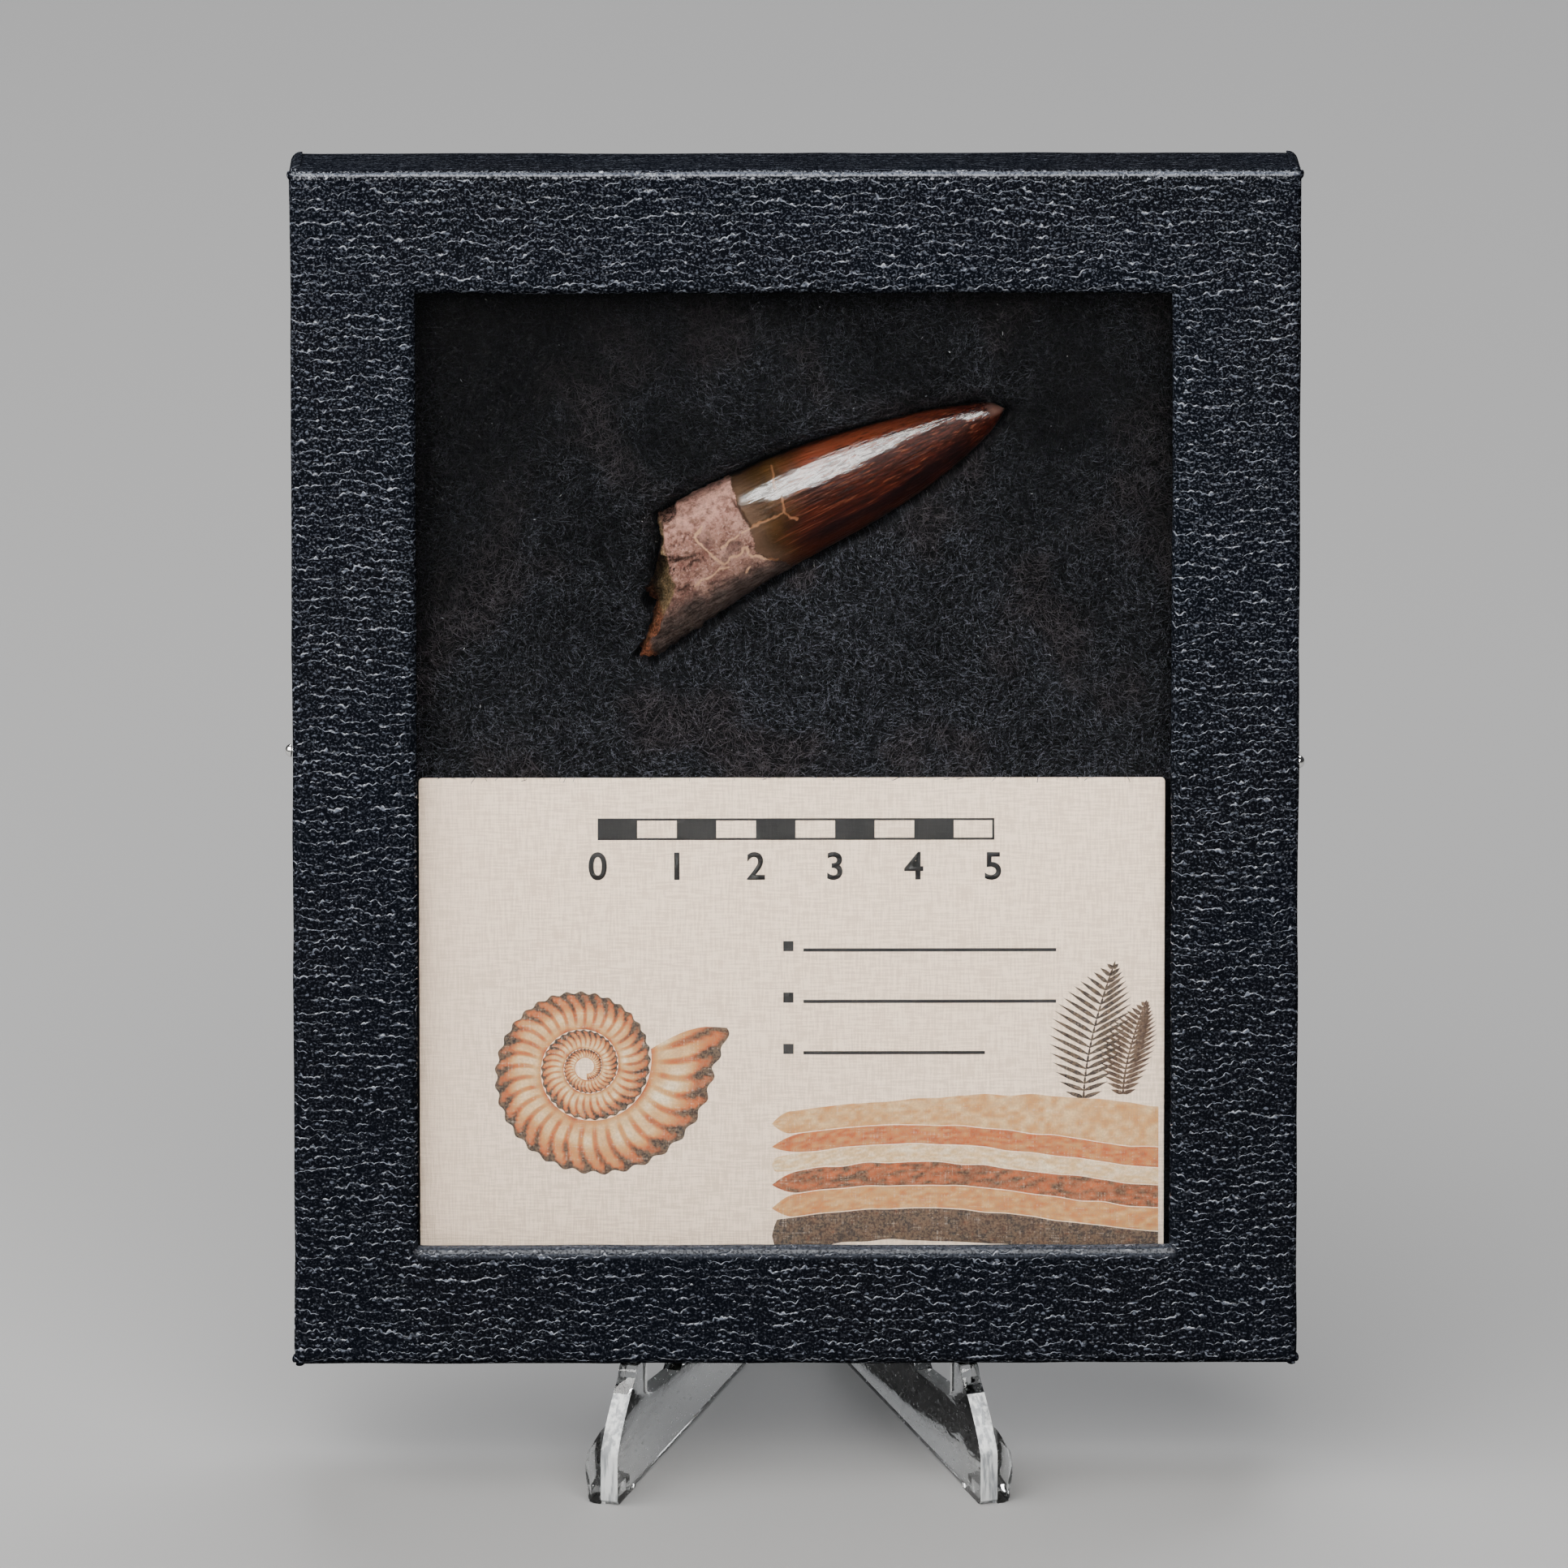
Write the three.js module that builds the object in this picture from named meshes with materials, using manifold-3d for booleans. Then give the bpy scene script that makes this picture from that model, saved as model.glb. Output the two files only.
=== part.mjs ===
// Fossil dinosaur tooth in a covered display case, standing on a clear two-legged easel.
// Millimetres, +Z up, the window faces -Y. The origin is under the middle of the bounding box, on the table.
import * as THREE from 'three';
import { mergeVertices } from 'three/addons/utils/BufferGeometryUtils.js';
import Module from 'manifold-3d';

const wasm = await Module();
wasm.setup();

// ---------- driving dimensions ----------

const GAP = 0.3; // running clearance between separate pieces
const CUT = 5; // how far a cutting tool runs past the surface it cuts

// Case: the lid is a shallow box with a window, the tray closes it from behind.
const CASE_W = 127;
const CASE_H = 152.4;
const CASE_D = 19;
const LID_BOARD = 1.6;
const LID_WALL = 1.5;
const LID_CORNER = 0.5;
const LID_EDGE = 1.1;
const WINDOW_W = 95.2;
const WINDOW_H = 121.6;
const WINDOW_X = -0.2;
const WINDOW_UP = -0.2;
const GLASS_T = 2;
const TRAY_WALL = 1.4;
const TRAY_BOARD = 1.6;
const TRAY_INSET = 0.4; // the tray's back lies this far inside the lid's rim
const CARD_W = 94.3;
const CARD_H = 63.5;
const CARD_T = 0.4;
const CARD_X = -0.45;
const CARD_TOP = -1.45; // height of the card's top edge over the middle of the case

// Pins: one through each side wall.
const PIN_SHAFT_R = 0.35;
const PIN_HEAD_R = 0.85;
const PIN_HEAD_T = 0.8;
const PIN_LENGTH = 12;
const PIN_DEPTH = 10.5;
const PIN_LEFT_UP = 1.05;
const PIN_RIGHT_UP = -0.55;

// Tooth: it lies on the batting, its axis rising to the right.
const TOOTH_ROOT_X = -17.4;
const TOOTH_ROOT_UP = 22.9;
const TOOTH_RISE = THREE.MathUtils.degToRad(26.4);
const TOOTH_TIP = 49.1; // length from the root reference point to the tip
const TOOTH_FLATNESS = 0.76; // thickness over width
const TOOTH_HALF_WIDTH = 7.5;
const TOOTH_RINGS = 34; // rings from the break to the tip
const TOOTH_SEGMENTS = 72;
const FLUTES = 18;
const FLUTE_DEPTH = 0.11;
const ENAMEL_START = 14;
const PIT_DEPTH = 0.16; // roughness of the root
const HOLLOW_DEPTH = 2.6; // the broken end is scooped out by this much
const HOLLOW_RINGS = 4;

// Stand: two flat clear legs that cross behind the case.
const LEAN = THREE.MathUtils.degToRad(11);
const SPLAY = THREE.MathUtils.degToRad(19.2);
const LEG_T = 2.3;
const LEG_LENGTH = 84;
const STAND_X = 0.4; // the stand's middle lies this far to the right of the case's
const TOE_X = 24.1;
const PAD_LENGTH = 6.7;
const PAD_LIFT = 0.4;
const TOE_HEIGHT = 8; // the front edge is upright to here, then leans back to the lip
const LIP_FRONT = 8;
const LIP_BACK = 11.4;
const NOTCH_FRONT_Z = 10.5;
const NOTCH_BACK_Z = 9.3;
const NOTCH_ROUND = 0.7;
const POST_TOP = 70;
const POST_TOP_W = 7;
const POST_ROUND = 2.5;
const TAIL_HEIGHT = 11;
const TAIL_ROUND = 3;
const REAR_PAD_START = 6; // the rear pad begins this far ahead of the crossing
const LEG_CHAMFER = 0.6;
const TAB_W = 2.1;
const TAB_T = 2;
const TAB_SINK = 0.02; // the tab is rooted this deep in the plate
const TAB_H = 10;
const TAB_SHOULDER = 6.8;
const TAB_FOOT_INSET = 0.45;
const PAD_BLOCK_W = 1.6;
const PAD_BLOCK_H = 2;
const HALF_LAP_Z = 5.2; // one leg is slotted above this height and the other below it
const SLOT_REACH = 24;

// Case seat: where the bottom front edge of the case stands.
const SEAT_Y = 5;
const SEAT_Z = 17.2;

// ---------- helpers ----------

// Turns a closed geometry into a manifold solid.
function solid(geometry) {
  const flat = geometry.index ? geometry.toNonIndexed() : geometry.clone();
  flat.deleteAttribute('normal');
  flat.deleteAttribute('uv');
  const merged = mergeVertices(flat, 1e-4);
  return new wasm.Manifold(new wasm.Mesh({
    numProp: 3,
    vertProperties: new Float32Array(merged.attributes.position.array),
    triVerts: new Uint32Array(merged.index.array),
  }));
}

// Turns a manifold solid back into a geometry with flat faces.
function geometryOf(body) {
  const mesh = body.getMesh();
  const geometry = new THREE.BufferGeometry();
  geometry.setAttribute('position', new THREE.BufferAttribute(new Float32Array(mesh.vertProperties), 3));
  geometry.setIndex(new THREE.BufferAttribute(new Uint32Array(mesh.triVerts), 1));
  return geometry;
}

function block(width, height, depth, x, y, z) {
  return new THREE.BoxGeometry(width, height, depth).translate(x, y, z);
}

// A rod along X that starts at x and runs towards +X or -X.
function rod(radius, length, x, direction, y, z, segments) {
  const geometry = new THREE.CylinderGeometry(radius, radius, length, segments);
  return geometry.rotateZ(Math.PI / 2).translate(x + direction * length / 2, y, z);
}

function roundedRectangle(width, height, radius) {
  const shape = new THREE.Shape();
  const x = width / 2 - radius;
  const y = height / 2 - radius;
  shape.absarc(x, y, radius, 0, Math.PI / 2);
  shape.absarc(-x, y, radius, Math.PI / 2, Math.PI);
  shape.absarc(-x, -y, radius, Math.PI, 1.5 * Math.PI);
  shape.absarc(x, -y, radius, 1.5 * Math.PI, 2 * Math.PI);
  return shape;
}

function material(color, roughness, metalness = 0, opacity = 1) {
  return new THREE.MeshStandardMaterial({ color, roughness, metalness, opacity, transparent: opacity < 1 });
}

function piece(name, geometry, look) {
  const mesh = new THREE.Mesh(geometry, look);
  mesh.name = name;
  return mesh;
}

// Smooth value noise in two directions, repeatable and without a seed table.
function ripple(x, y) {
  return Math.sin(0.31 * x + 1.7 * Math.sin(0.11 * y + 0.6)) * Math.cos(0.23 * y + 1.3 * Math.sin(0.09 * x));
}

// ---------- case ----------
// The case is drawn with X right, Y up the face and Z out of the face, which lies at Z = 0.

const CAVITY_W = CASE_W - 2 * LID_WALL;
const CAVITY_H = CASE_H - 2 * LID_WALL;
const TRAY_W = CAVITY_W - 2 * GAP;
const TRAY_H = CAVITY_H - 2 * GAP;
const GLASS_FRONT = -LID_BOARD - GAP;
const GLASS_BACK = GLASS_FRONT - GLASS_T;
const CARD_FRONT = GLASS_BACK - GAP;
const CARD_BACK = CARD_FRONT - CARD_T;
const TRAY_BACK = -CASE_D + TRAY_INSET;
const TRAY_FLOOR = TRAY_BACK + TRAY_BOARD;
const BATTING_BACK = TRAY_FLOOR + GAP;
const BATTING_W = TRAY_W - 2 * TRAY_WALL - 2 * GAP;
const BATTING_H = TRAY_H - 2 * TRAY_WALL - 2 * GAP;
const PIN_HOLE_R = PIN_SHAFT_R + GAP;
const PIN_SEAT_X = CASE_W / 2 + GAP;

// The two bores that the pins pass through.
function pinBores() {
  const left = rod(PIN_HOLE_R, PIN_LENGTH + CUT, -CASE_W / 2 - CUT / 2, 1, PIN_LEFT_UP, -PIN_DEPTH, 12);
  const right = rod(PIN_HOLE_R, PIN_LENGTH + CUT, CASE_W / 2 + CUT / 2, -1, PIN_RIGHT_UP, -PIN_DEPTH, 12);
  return solid(left).add(solid(right));
}

function lid() {
  const straight = CASE_D - LID_EDGE;
  const outline = roundedRectangle(CASE_W - 2 * LID_EDGE, CASE_H - 2 * LID_EDGE, LID_CORNER);
  const shell = new THREE.ExtrudeGeometry(outline, {
    depth: straight - LID_EDGE,
    bevelThickness: LID_EDGE,
    bevelSize: LID_EDGE,
    bevelSegments: 3,
    curveSegments: 3,
  });
  shell.translate(0, 0, -straight);
  const rearCut = block(CASE_W + CUT, CASE_H + CUT, CUT, 0, 0, -CASE_D - CUT / 2);
  const rim = block(CASE_W - 2 * LID_EDGE, CASE_H - 2 * LID_EDGE, 2 * LID_EDGE, 0, 0, -CASE_D + LID_EDGE);
  const cavity = block(CAVITY_W, CAVITY_H, CASE_D, 0, 0, -LID_BOARD - CASE_D / 2);
  const window = block(WINDOW_W, WINDOW_H, CASE_D, WINDOW_X, WINDOW_UP, 0);
  const body = solid(shell).add(solid(rim)).subtract(solid(rearCut));
  return geometryOf(body.subtract(solid(cavity)).subtract(solid(window)).subtract(pinBores()));
}

function glass() {
  return block(TRAY_W, TRAY_H, GLASS_T, 0, 0, (GLASS_FRONT + GLASS_BACK) / 2);
}

function tray() {
  const wallTop = GLASS_BACK - GAP;
  const depth = wallTop - TRAY_BACK;
  const innerW = TRAY_W - 2 * TRAY_WALL;
  const innerH = TRAY_H - 2 * TRAY_WALL;
  const outer = solid(block(TRAY_W, TRAY_H, depth, 0, 0, TRAY_BACK + depth / 2));
  const inner = solid(block(innerW, innerH, depth, 0, 0, TRAY_FLOOR + depth / 2));
  return geometryOf(outer.subtract(inner).subtract(pinBores()));
}

function labelCard() {
  return block(CARD_W, CARD_H, CARD_T, CARD_X, CARD_TOP - CARD_H / 2, (CARD_FRONT + CARD_BACK) / 2);
}

// ---------- tooth ----------
// The tooth is drawn along X from its broken root to its tip, with its width along Y and thickness along Z.

// Width stations: distance from the root reference, upper edge, lower edge.
const TOOTH_STATIONS = [
  [-7, 5.6, -8.5],
  [0, 7.05, -7.75],
  [6, 7.9, -6.95],
  [14, 8.0, -6.05],
  [22, 7.55, -5.65],
  [30, 6.35, -5.2],
  [38, 4.8, -4.0],
  [44, 3.15, -2.45],
  [47.6, 1.75, -1.0],
  [49.1, 0.1, 0.1],
];
const stationCurve = new THREE.SplineCurve(TOOTH_STATIONS.map(([s, upper]) => new THREE.Vector2(s, upper)));
const lowerCurve = new THREE.SplineCurve(TOOTH_STATIONS.map(([s, , lower]) => new THREE.Vector2(s, lower)));

// Height of an edge curve at distance s, found by bisection along the curve.
function edgeAt(curve, s) {
  let low = 0;
  let high = 1;
  for (let step = 0; step < 24; step += 1) {
    const middle = (low + high) / 2;
    if (curve.getPoint(middle).x < s) low = middle;
    else high = middle;
  }
  return curve.getPoint(low).y;
}

// A rounded bump in an angle: height at the middle, fading over its width.
function bump(angle, middle, width, height) {
  return height * Math.exp(-(((angle - middle) / width) ** 2));
}

// Distance at which the surface starts on the broken end, for an angle around the axis.
function breakAt(angle) {
  const fromTop = Math.PI - Math.abs(Math.PI - angle);
  const slant = -1.0 + 4.3 * Math.cos(fromTop);
  const lump = bump(fromTop, 1.85, 0.17, -1.3) + bump(fromTop, 2.12, 0.13, 0.7);
  const spur = bump(fromTop, 2.72, 0.22, -1.6) + bump(fromTop, Math.PI, 0.2, 0.8);
  return slant + lump + spur + 0.22 * Math.sin(7 * angle);
}

// A point on the tooth, grown outwards by extra; along runs from 0 at the break to 1 at the tip.
function toothPoint(along, angle, extra) {
  const start = breakAt(angle) - extra;
  const s = start + along * (TOOTH_TIP + extra - start);
  const reach = Math.min(s, TOOTH_TIP);
  const upper = edgeAt(stationCurve, reach);
  const lower = edgeAt(lowerCurve, reach);
  const half = (upper - lower) / 2;
  const enamel = THREE.MathUtils.smoothstep(s, ENAMEL_START, ENAMEL_START + 4);
  const fade = THREE.MathUtils.smoothstep(TOOTH_TIP - s, 0, 12);
  const flute = FLUTE_DEPTH * enamel * fade * Math.cos(FLUTES * angle);
  const pits = PIT_DEPTH * (1 - enamel) * ripple(7 * s, 60 * angle);
  const girth = Math.max(half + (extra > 0 ? 0 : flute + pits), 0.02) + extra * Math.min(1, (1 - along) * 8);
  return new THREE.Vector3(
    s,
    (upper + lower) / 2 + girth * Math.cos(angle),
    girth * TOOTH_FLATNESS * Math.sin(angle),
  );
}

function toothSurface(rings, segments, extra) {
  const positions = [];
  const index = [];
  const angleOf = (j) => (2 * Math.PI * j) / segments;
  // Side rings crowd towards the tip, so that the point stays sharp.
  for (let i = 0; i < rings; i += 1) {
    const along = 1 - (1 - i / rings) ** 1.15;
    for (let j = 0; j < segments; j += 1) positions.push(...toothPoint(along, angleOf(j), extra).toArray());
  }
  const tip = positions.length / 3;
  positions.push(TOOTH_TIP + extra, edgeAt(stationCurve, TOOTH_TIP), 0);
  for (let i = 0; i < rings; i += 1) {
    for (let j = 0; j < segments; j += 1) {
      const a = i * segments + j;
      const b = i * segments + ((j + 1) % segments);
      if (i === rings - 1) index.push(a, b, tip);
      else index.push(a, b, b + segments, a, b + segments, a + segments);
    }
  }
  // The broken end: rings that shrink towards a scooped middle.
  const rimCentre = new THREE.Vector3();
  for (let j = 0; j < segments; j += 1) {
    rimCentre.add(toothPoint(0, angleOf(j), extra).divideScalar(segments));
  }
  const hollow = extra > 0 ? 0 : HOLLOW_DEPTH;
  let previous = 0;
  for (let k = 1; k < HOLLOW_RINGS; k += 1) {
    const first = positions.length / 3;
    const shrink = 1 - k / HOLLOW_RINGS;
    for (let j = 0; j < segments; j += 1) {
      const point = toothPoint(0, angleOf(j), extra).lerp(rimCentre, 1 - shrink);
      const scoop = hollow * (1 - shrink ** 2) + (hollow > 0 ? 0.35 * ripple(9 * j, 40 * k) : 0);
      positions.push(point.x + scoop, point.y, point.z);
    }
    for (let j = 0; j < segments; j += 1) {
      const next = (j + 1) % segments;
      index.push(previous + j, first + j, first + next, previous + j, first + next, previous + next);
    }
    previous = first;
  }
  const middle = positions.length / 3;
  positions.push(rimCentre.x + hollow, rimCentre.y, rimCentre.z);
  for (let j = 0; j < segments; j += 1) index.push(previous + j, middle, previous + ((j + 1) % segments));
  const geometry = new THREE.BufferGeometry();
  geometry.setAttribute('position', new THREE.BufferAttribute(new Float32Array(positions), 3));
  geometry.setIndex(index);
  return geometry;
}

// Depth of the tooth's middle plane: its front lies one gap behind the glass.
const TOOTH_DEPTH = GLASS_BACK - GAP - TOOTH_HALF_WIDTH * TOOTH_FLATNESS;

function placeTooth(geometry) {
  return geometry.rotateZ(TOOTH_RISE).translate(TOOTH_ROOT_X, TOOTH_ROOT_UP, TOOTH_DEPTH);
}

// ---------- batting ----------

const BATTING_COLUMNS = 30;
const BATTING_ROWS = 36;
const BATTING_CROWN = CARD_BACK - GAP; // the highest the batting reaches
const POCKET_DROP = 3.2; // how far it sinks beside the tooth
const POCKET_REACH = 9;
const POCKET_CLEARANCE = 0.8;
const POCKET_RINGS = 20;
const POCKET_SEGMENTS = 36;

// Depth of the batting's surface at a place on the face.
function battingAt(x, y) {
  const underCard = THREE.MathUtils.smoothstep(CARD_TOP + 3 - y, 0, 3);
  const waves = 0.55 + 0.45 * ripple(1.4 * x + 8, 1.6 * y);
  const dx = x - TOOTH_ROOT_X;
  const dy = y - TOOTH_ROOT_UP;
  const s = dx * Math.cos(TOOTH_RISE) + dy * Math.sin(TOOTH_RISE);
  const t = -dx * Math.sin(TOOTH_RISE) + dy * Math.cos(TOOTH_RISE);
  const beyond = Math.max(0, -3 - s, s - TOOTH_TIP);
  const taper = 6.8 * THREE.MathUtils.clamp(1 - (s - 26) / 40, 0.3, 1);
  const outside = Math.hypot(beyond, Math.max(0, Math.abs(t) - taper));
  const sink = POCKET_DROP * (1 - THREE.MathUtils.smoothstep(outside, 0, POCKET_REACH));
  return BATTING_CROWN - (1 - underCard) * (waves + sink);
}

function battingBlock() {
  const positions = [];
  const index = [];
  const columns = BATTING_COLUMNS + 1;
  const layer = columns * (BATTING_ROWS + 1);
  for (const front of [true, false]) {
    for (let row = 0; row <= BATTING_ROWS; row += 1) {
      for (let column = 0; column <= BATTING_COLUMNS; column += 1) {
        const x = BATTING_W * (column / BATTING_COLUMNS - 0.5);
        const y = BATTING_H * (row / BATTING_ROWS - 0.5);
        positions.push(x, y, front ? battingAt(x, y) : BATTING_BACK);
      }
    }
  }
  for (let row = 0; row < BATTING_ROWS; row += 1) {
    for (let column = 0; column < BATTING_COLUMNS; column += 1) {
      const a = row * columns + column;
      index.push(a, a + 1, a + columns + 1, a, a + columns + 1, a + columns);
      index.push(layer + a, layer + a + columns + 1, layer + a + 1);
      index.push(layer + a, layer + a + columns, layer + a + columns + 1);
    }
  }
  const wall = (a, b) => index.push(a, layer + a, layer + b, a, layer + b, b);
  for (let column = 0; column < BATTING_COLUMNS; column += 1) {
    const top = BATTING_ROWS * columns;
    wall(column, column + 1);
    wall(top + column + 1, top + column);
  }
  for (let row = 0; row < BATTING_ROWS; row += 1) {
    wall((row + 1) * columns, row * columns);
    wall(row * columns + columns - 1, (row + 1) * columns + columns - 1);
  }
  const geometry = new THREE.BufferGeometry();
  geometry.setAttribute('position', new THREE.BufferAttribute(new Float32Array(positions), 3));
  geometry.setIndex(index);
  return geometry;
}

function batting() {
  const pocket = solid(placeTooth(toothSurface(POCKET_RINGS, POCKET_SEGMENTS, POCKET_CLEARANCE)));
  return geometryOf(solid(battingBlock()).subtract(pocket).subtract(pinBores()));
}

// ---------- pins ----------

// A pin whose head lies outside the side wall; side is -1 on the left and 1 on the right.
function pin(side, up) {
  const shaft = rod(PIN_SHAFT_R, PIN_LENGTH, side * (PIN_SEAT_X + PIN_HEAD_T / 2), -side, 0, 0, 10);
  const profile = [
    new THREE.Vector2(0, 0),
    new THREE.Vector2(PIN_HEAD_R, 0),
    new THREE.Vector2(PIN_HEAD_R, 0.45 * PIN_HEAD_T),
    new THREE.Vector2(0.6 * PIN_HEAD_R, 0.9 * PIN_HEAD_T),
    new THREE.Vector2(0, PIN_HEAD_T),
  ];
  const head = new THREE.LatheGeometry(profile, 14);
  head.rotateZ(-side * Math.PI / 2).translate(side * PIN_SEAT_X, 0, 0);
  return geometryOf(solid(shaft).add(solid(head))).translate(0, up, -PIN_DEPTH);
}

// ---------- stand ----------
// A leg is drawn with X back from the toe, Y up and Z through its thickness.

const TAN_LEAN = Math.tan(LEAN);
const COS_SPLAY = Math.cos(SPLAY);
const SIN_SPLAY = Math.sin(SPLAY);
const SKEW = (LEG_T / 2) * SIN_SPLAY; // how far a leg's faces stray fore and aft from its middle
const CROSSING = TOE_X / SIN_SPLAY; // where the two legs cross, back from the toes

// Height of the case's underside, less the gap, above a place on the leg.
function underCase(back) {
  return SEAT_Z - (back * COS_SPLAY + SKEW - SEAT_Y) * TAN_LEAN - GAP / Math.cos(LEAN);
}

// Place on the leg, back from the toe, of the case's rear face plus the gap, at a height.
function behindCase(height) {
  const rearY = SEAT_Y + CASE_D * Math.cos(LEAN) + (height - SEAT_Z + CASE_D * Math.sin(LEAN)) * TAN_LEAN;
  return (rearY + GAP / Math.cos(LEAN) + SKEW) / COS_SPLAY;
}

function legOutline() {
  const shape = new THREE.Shape();
  const postFront = behindCase(POST_TOP);
  const postBack = postFront + POST_TOP_W;
  const tailTop = LEG_LENGTH - TAIL_ROUND;
  // Underside: front pad, a shallow arch and the rear pad.
  shape.moveTo(LEG_CHAMFER, 0);
  shape.lineTo(PAD_LENGTH, 0);
  shape.lineTo(PAD_LENGTH + PAD_LIFT, PAD_LIFT);
  shape.lineTo(CROSSING - REAR_PAD_START - PAD_LIFT, PAD_LIFT);
  shape.lineTo(CROSSING - REAR_PAD_START, 0);
  shape.lineTo(LEG_LENGTH - LEG_CHAMFER, 0);
  shape.lineTo(LEG_LENGTH, LEG_CHAMFER);
  shape.lineTo(LEG_LENGTH, TAIL_HEIGHT - TAIL_ROUND);
  shape.quadraticCurveTo(LEG_LENGTH, TAIL_HEIGHT, tailTop, TAIL_HEIGHT);
  // A long hollow sweep from the tail up to the back of the post.
  shape.bezierCurveTo(tailTop - 26, TAIL_HEIGHT + 1, postFront + 11, 30, postBack, POST_TOP - POST_ROUND);
  shape.quadraticCurveTo(postBack, POST_TOP, postBack - POST_ROUND, POST_TOP);
  shape.lineTo(postFront + LEG_CHAMFER, POST_TOP);
  // The post's front lies along the case's back, down into the notch.
  shape.lineTo(behindCase(POST_TOP - LEG_CHAMFER), POST_TOP - LEG_CHAMFER);
  shape.lineTo(behindCase(NOTCH_BACK_Z + NOTCH_ROUND), NOTCH_BACK_Z + NOTCH_ROUND);
  shape.lineTo(behindCase(NOTCH_BACK_Z) - NOTCH_ROUND, NOTCH_BACK_Z);
  shape.lineTo(LIP_BACK + NOTCH_ROUND, NOTCH_FRONT_Z);
  shape.lineTo(LIP_BACK, NOTCH_FRONT_Z + NOTCH_ROUND);
  // The lip's tip carries the underside of the case.
  shape.lineTo(LIP_BACK, underCase(LIP_BACK) - LEG_CHAMFER);
  shape.lineTo(LIP_BACK - LEG_CHAMFER, underCase(LIP_BACK - LEG_CHAMFER));
  shape.lineTo(LIP_FRONT, underCase(LIP_FRONT));
  shape.quadraticCurveTo(LIP_FRONT - 1, underCase(LIP_FRONT), LIP_FRONT - 1.2, underCase(LIP_FRONT) - 1.4);
  shape.quadraticCurveTo(0.9, TOE_HEIGHT + 1.6, 0, TOE_HEIGHT - 1.5);
  shape.lineTo(0, LEG_CHAMFER);
  return shape;
}

// The flat tab that stands out from the toe, drawn with X outwards and Y up.
function tabOutline() {
  const shape = new THREE.Shape();
  shape.moveTo(0, 0);
  shape.lineTo(TAB_W - TAB_FOOT_INSET - LEG_CHAMFER, 0);
  shape.lineTo(TAB_W - TAB_FOOT_INSET, LEG_CHAMFER);
  shape.lineTo(TAB_W, TAB_SHOULDER - 2);
  shape.lineTo(TAB_W - 0.3, TAB_SHOULDER);
  shape.lineTo(0, TAB_H);
  return shape;
}

// side is -1 for the left leg and 1 for the right one; outwards is the same way along Z.
function legBody(side) {
  const settings = { depth: LEG_T, bevelEnabled: false, curveSegments: 10 };
  const plate = new THREE.ExtrudeGeometry(legOutline(), settings);
  plate.translate(0, 0, -LEG_T / 2);
  const rooted = LEG_T / 4; // the pad block starts this far inside the plate
  const tab = new THREE.ExtrudeGeometry(tabOutline(), { depth: TAB_T, bevelEnabled: false });
  // Turn the tab so that its width runs outwards and its thickness runs back from the toe.
  const tabRoot = side * (LEG_T / 2 - TAB_SINK);
  if (side > 0) tab.rotateY(-Math.PI / 2).translate(TAB_T, 0, tabRoot);
  else tab.rotateY(Math.PI / 2).translate(0, 0, tabRoot);
  const width = PAD_BLOCK_W + rooted;
  const middle = side * (LEG_T / 2 - rooted + width / 2);
  const padLength = PAD_LENGTH - LEG_CHAMFER;
  const pad = block(padLength, PAD_BLOCK_H, width, PAD_LENGTH / 2, PAD_BLOCK_H / 2, middle);
  return solid(plate).add(solid(tab)).add(solid(pad));
}

// The matrix that stands a leg in its place.
function legMatrix(side) {
  const turn = new THREE.Matrix4().makeRotationZ(Math.PI / 2 + side * SPLAY);
  turn.multiply(new THREE.Matrix4().makeRotationX(Math.PI / 2));
  return turn.setPosition(side * TOE_X, 0, 0);
}

// The slot in one leg where the other passes through it: below the lap height or above it.
function lapSlot(side, above) {
  const height = TAIL_HEIGHT + CUT;
  const base = above ? HALF_LAP_Z - GAP / 2 : HALF_LAP_Z + GAP / 2 - height;
  const other = block(LEG_LENGTH, height, LEG_T + 2 * GAP, LEG_LENGTH / 2 + CUT, base + height / 2, 0);
  other.applyMatrix4(legMatrix(-side));
  return other.applyMatrix4(legMatrix(side).invert());
}

function leg(side) {
  const slot = solid(lapSlot(side, side < 0));
  // Only the part of the slot near the crossing is cut.
  const near = solid(block(SLOT_REACH, 2 * POST_TOP, SLOT_REACH, CROSSING, 0, 0));
  return geometryOf(legBody(side).subtract(slot.intersect(near))).applyMatrix4(legMatrix(side));
}

// ---------- assembly ----------

const group = new THREE.Group();
const caseGroup = new THREE.Group();
const standGroup = new THREE.Group();

caseGroup.add(
  piece('lid', lid(), material(0x26272c, 0.55)),
  piece('glass', glass(), material(0xdfe8ea, 0.05, 0, 0.2)),
  piece('tray', tray(), material(0x1d1e21, 0.8)),
  piece('batting', batting(), material(0x1e2224, 1)),
  piece('label_card', labelCard(), material(0xebe2d9, 0.85)),
  piece('tooth', placeTooth(toothSurface(TOOTH_RINGS, TOOTH_SEGMENTS, 0)), material(0x6b3a26, 0.35)),
  piece('pin_left', pin(-1, PIN_LEFT_UP), material(0xc9cbcc, 0.2, 1)),
  piece('pin_right', pin(1, PIN_RIGHT_UP), material(0xc9cbcc, 0.2, 1)),
);
caseGroup.rotation.x = Math.PI / 2 - LEAN;
caseGroup.position.set(0, SEAT_Y + (CASE_H / 2) * Math.sin(LEAN), SEAT_Z + (CASE_H / 2) * Math.cos(LEAN));

standGroup.add(
  piece('stand_leg_left', leg(-1), material(0xe6edee, 0.1, 0, 0.35)),
  piece('stand_leg_right', leg(1), material(0xe6edee, 0.1, 0, 0.35)),
);

// The legs reach furthest front and back, so their middle is the middle of the whole.
standGroup.position.x = STAND_X;
group.add(caseGroup, standGroup);
group.position.y = -(LEG_LENGTH * COS_SPLAY) / 2;

export default group;
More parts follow.
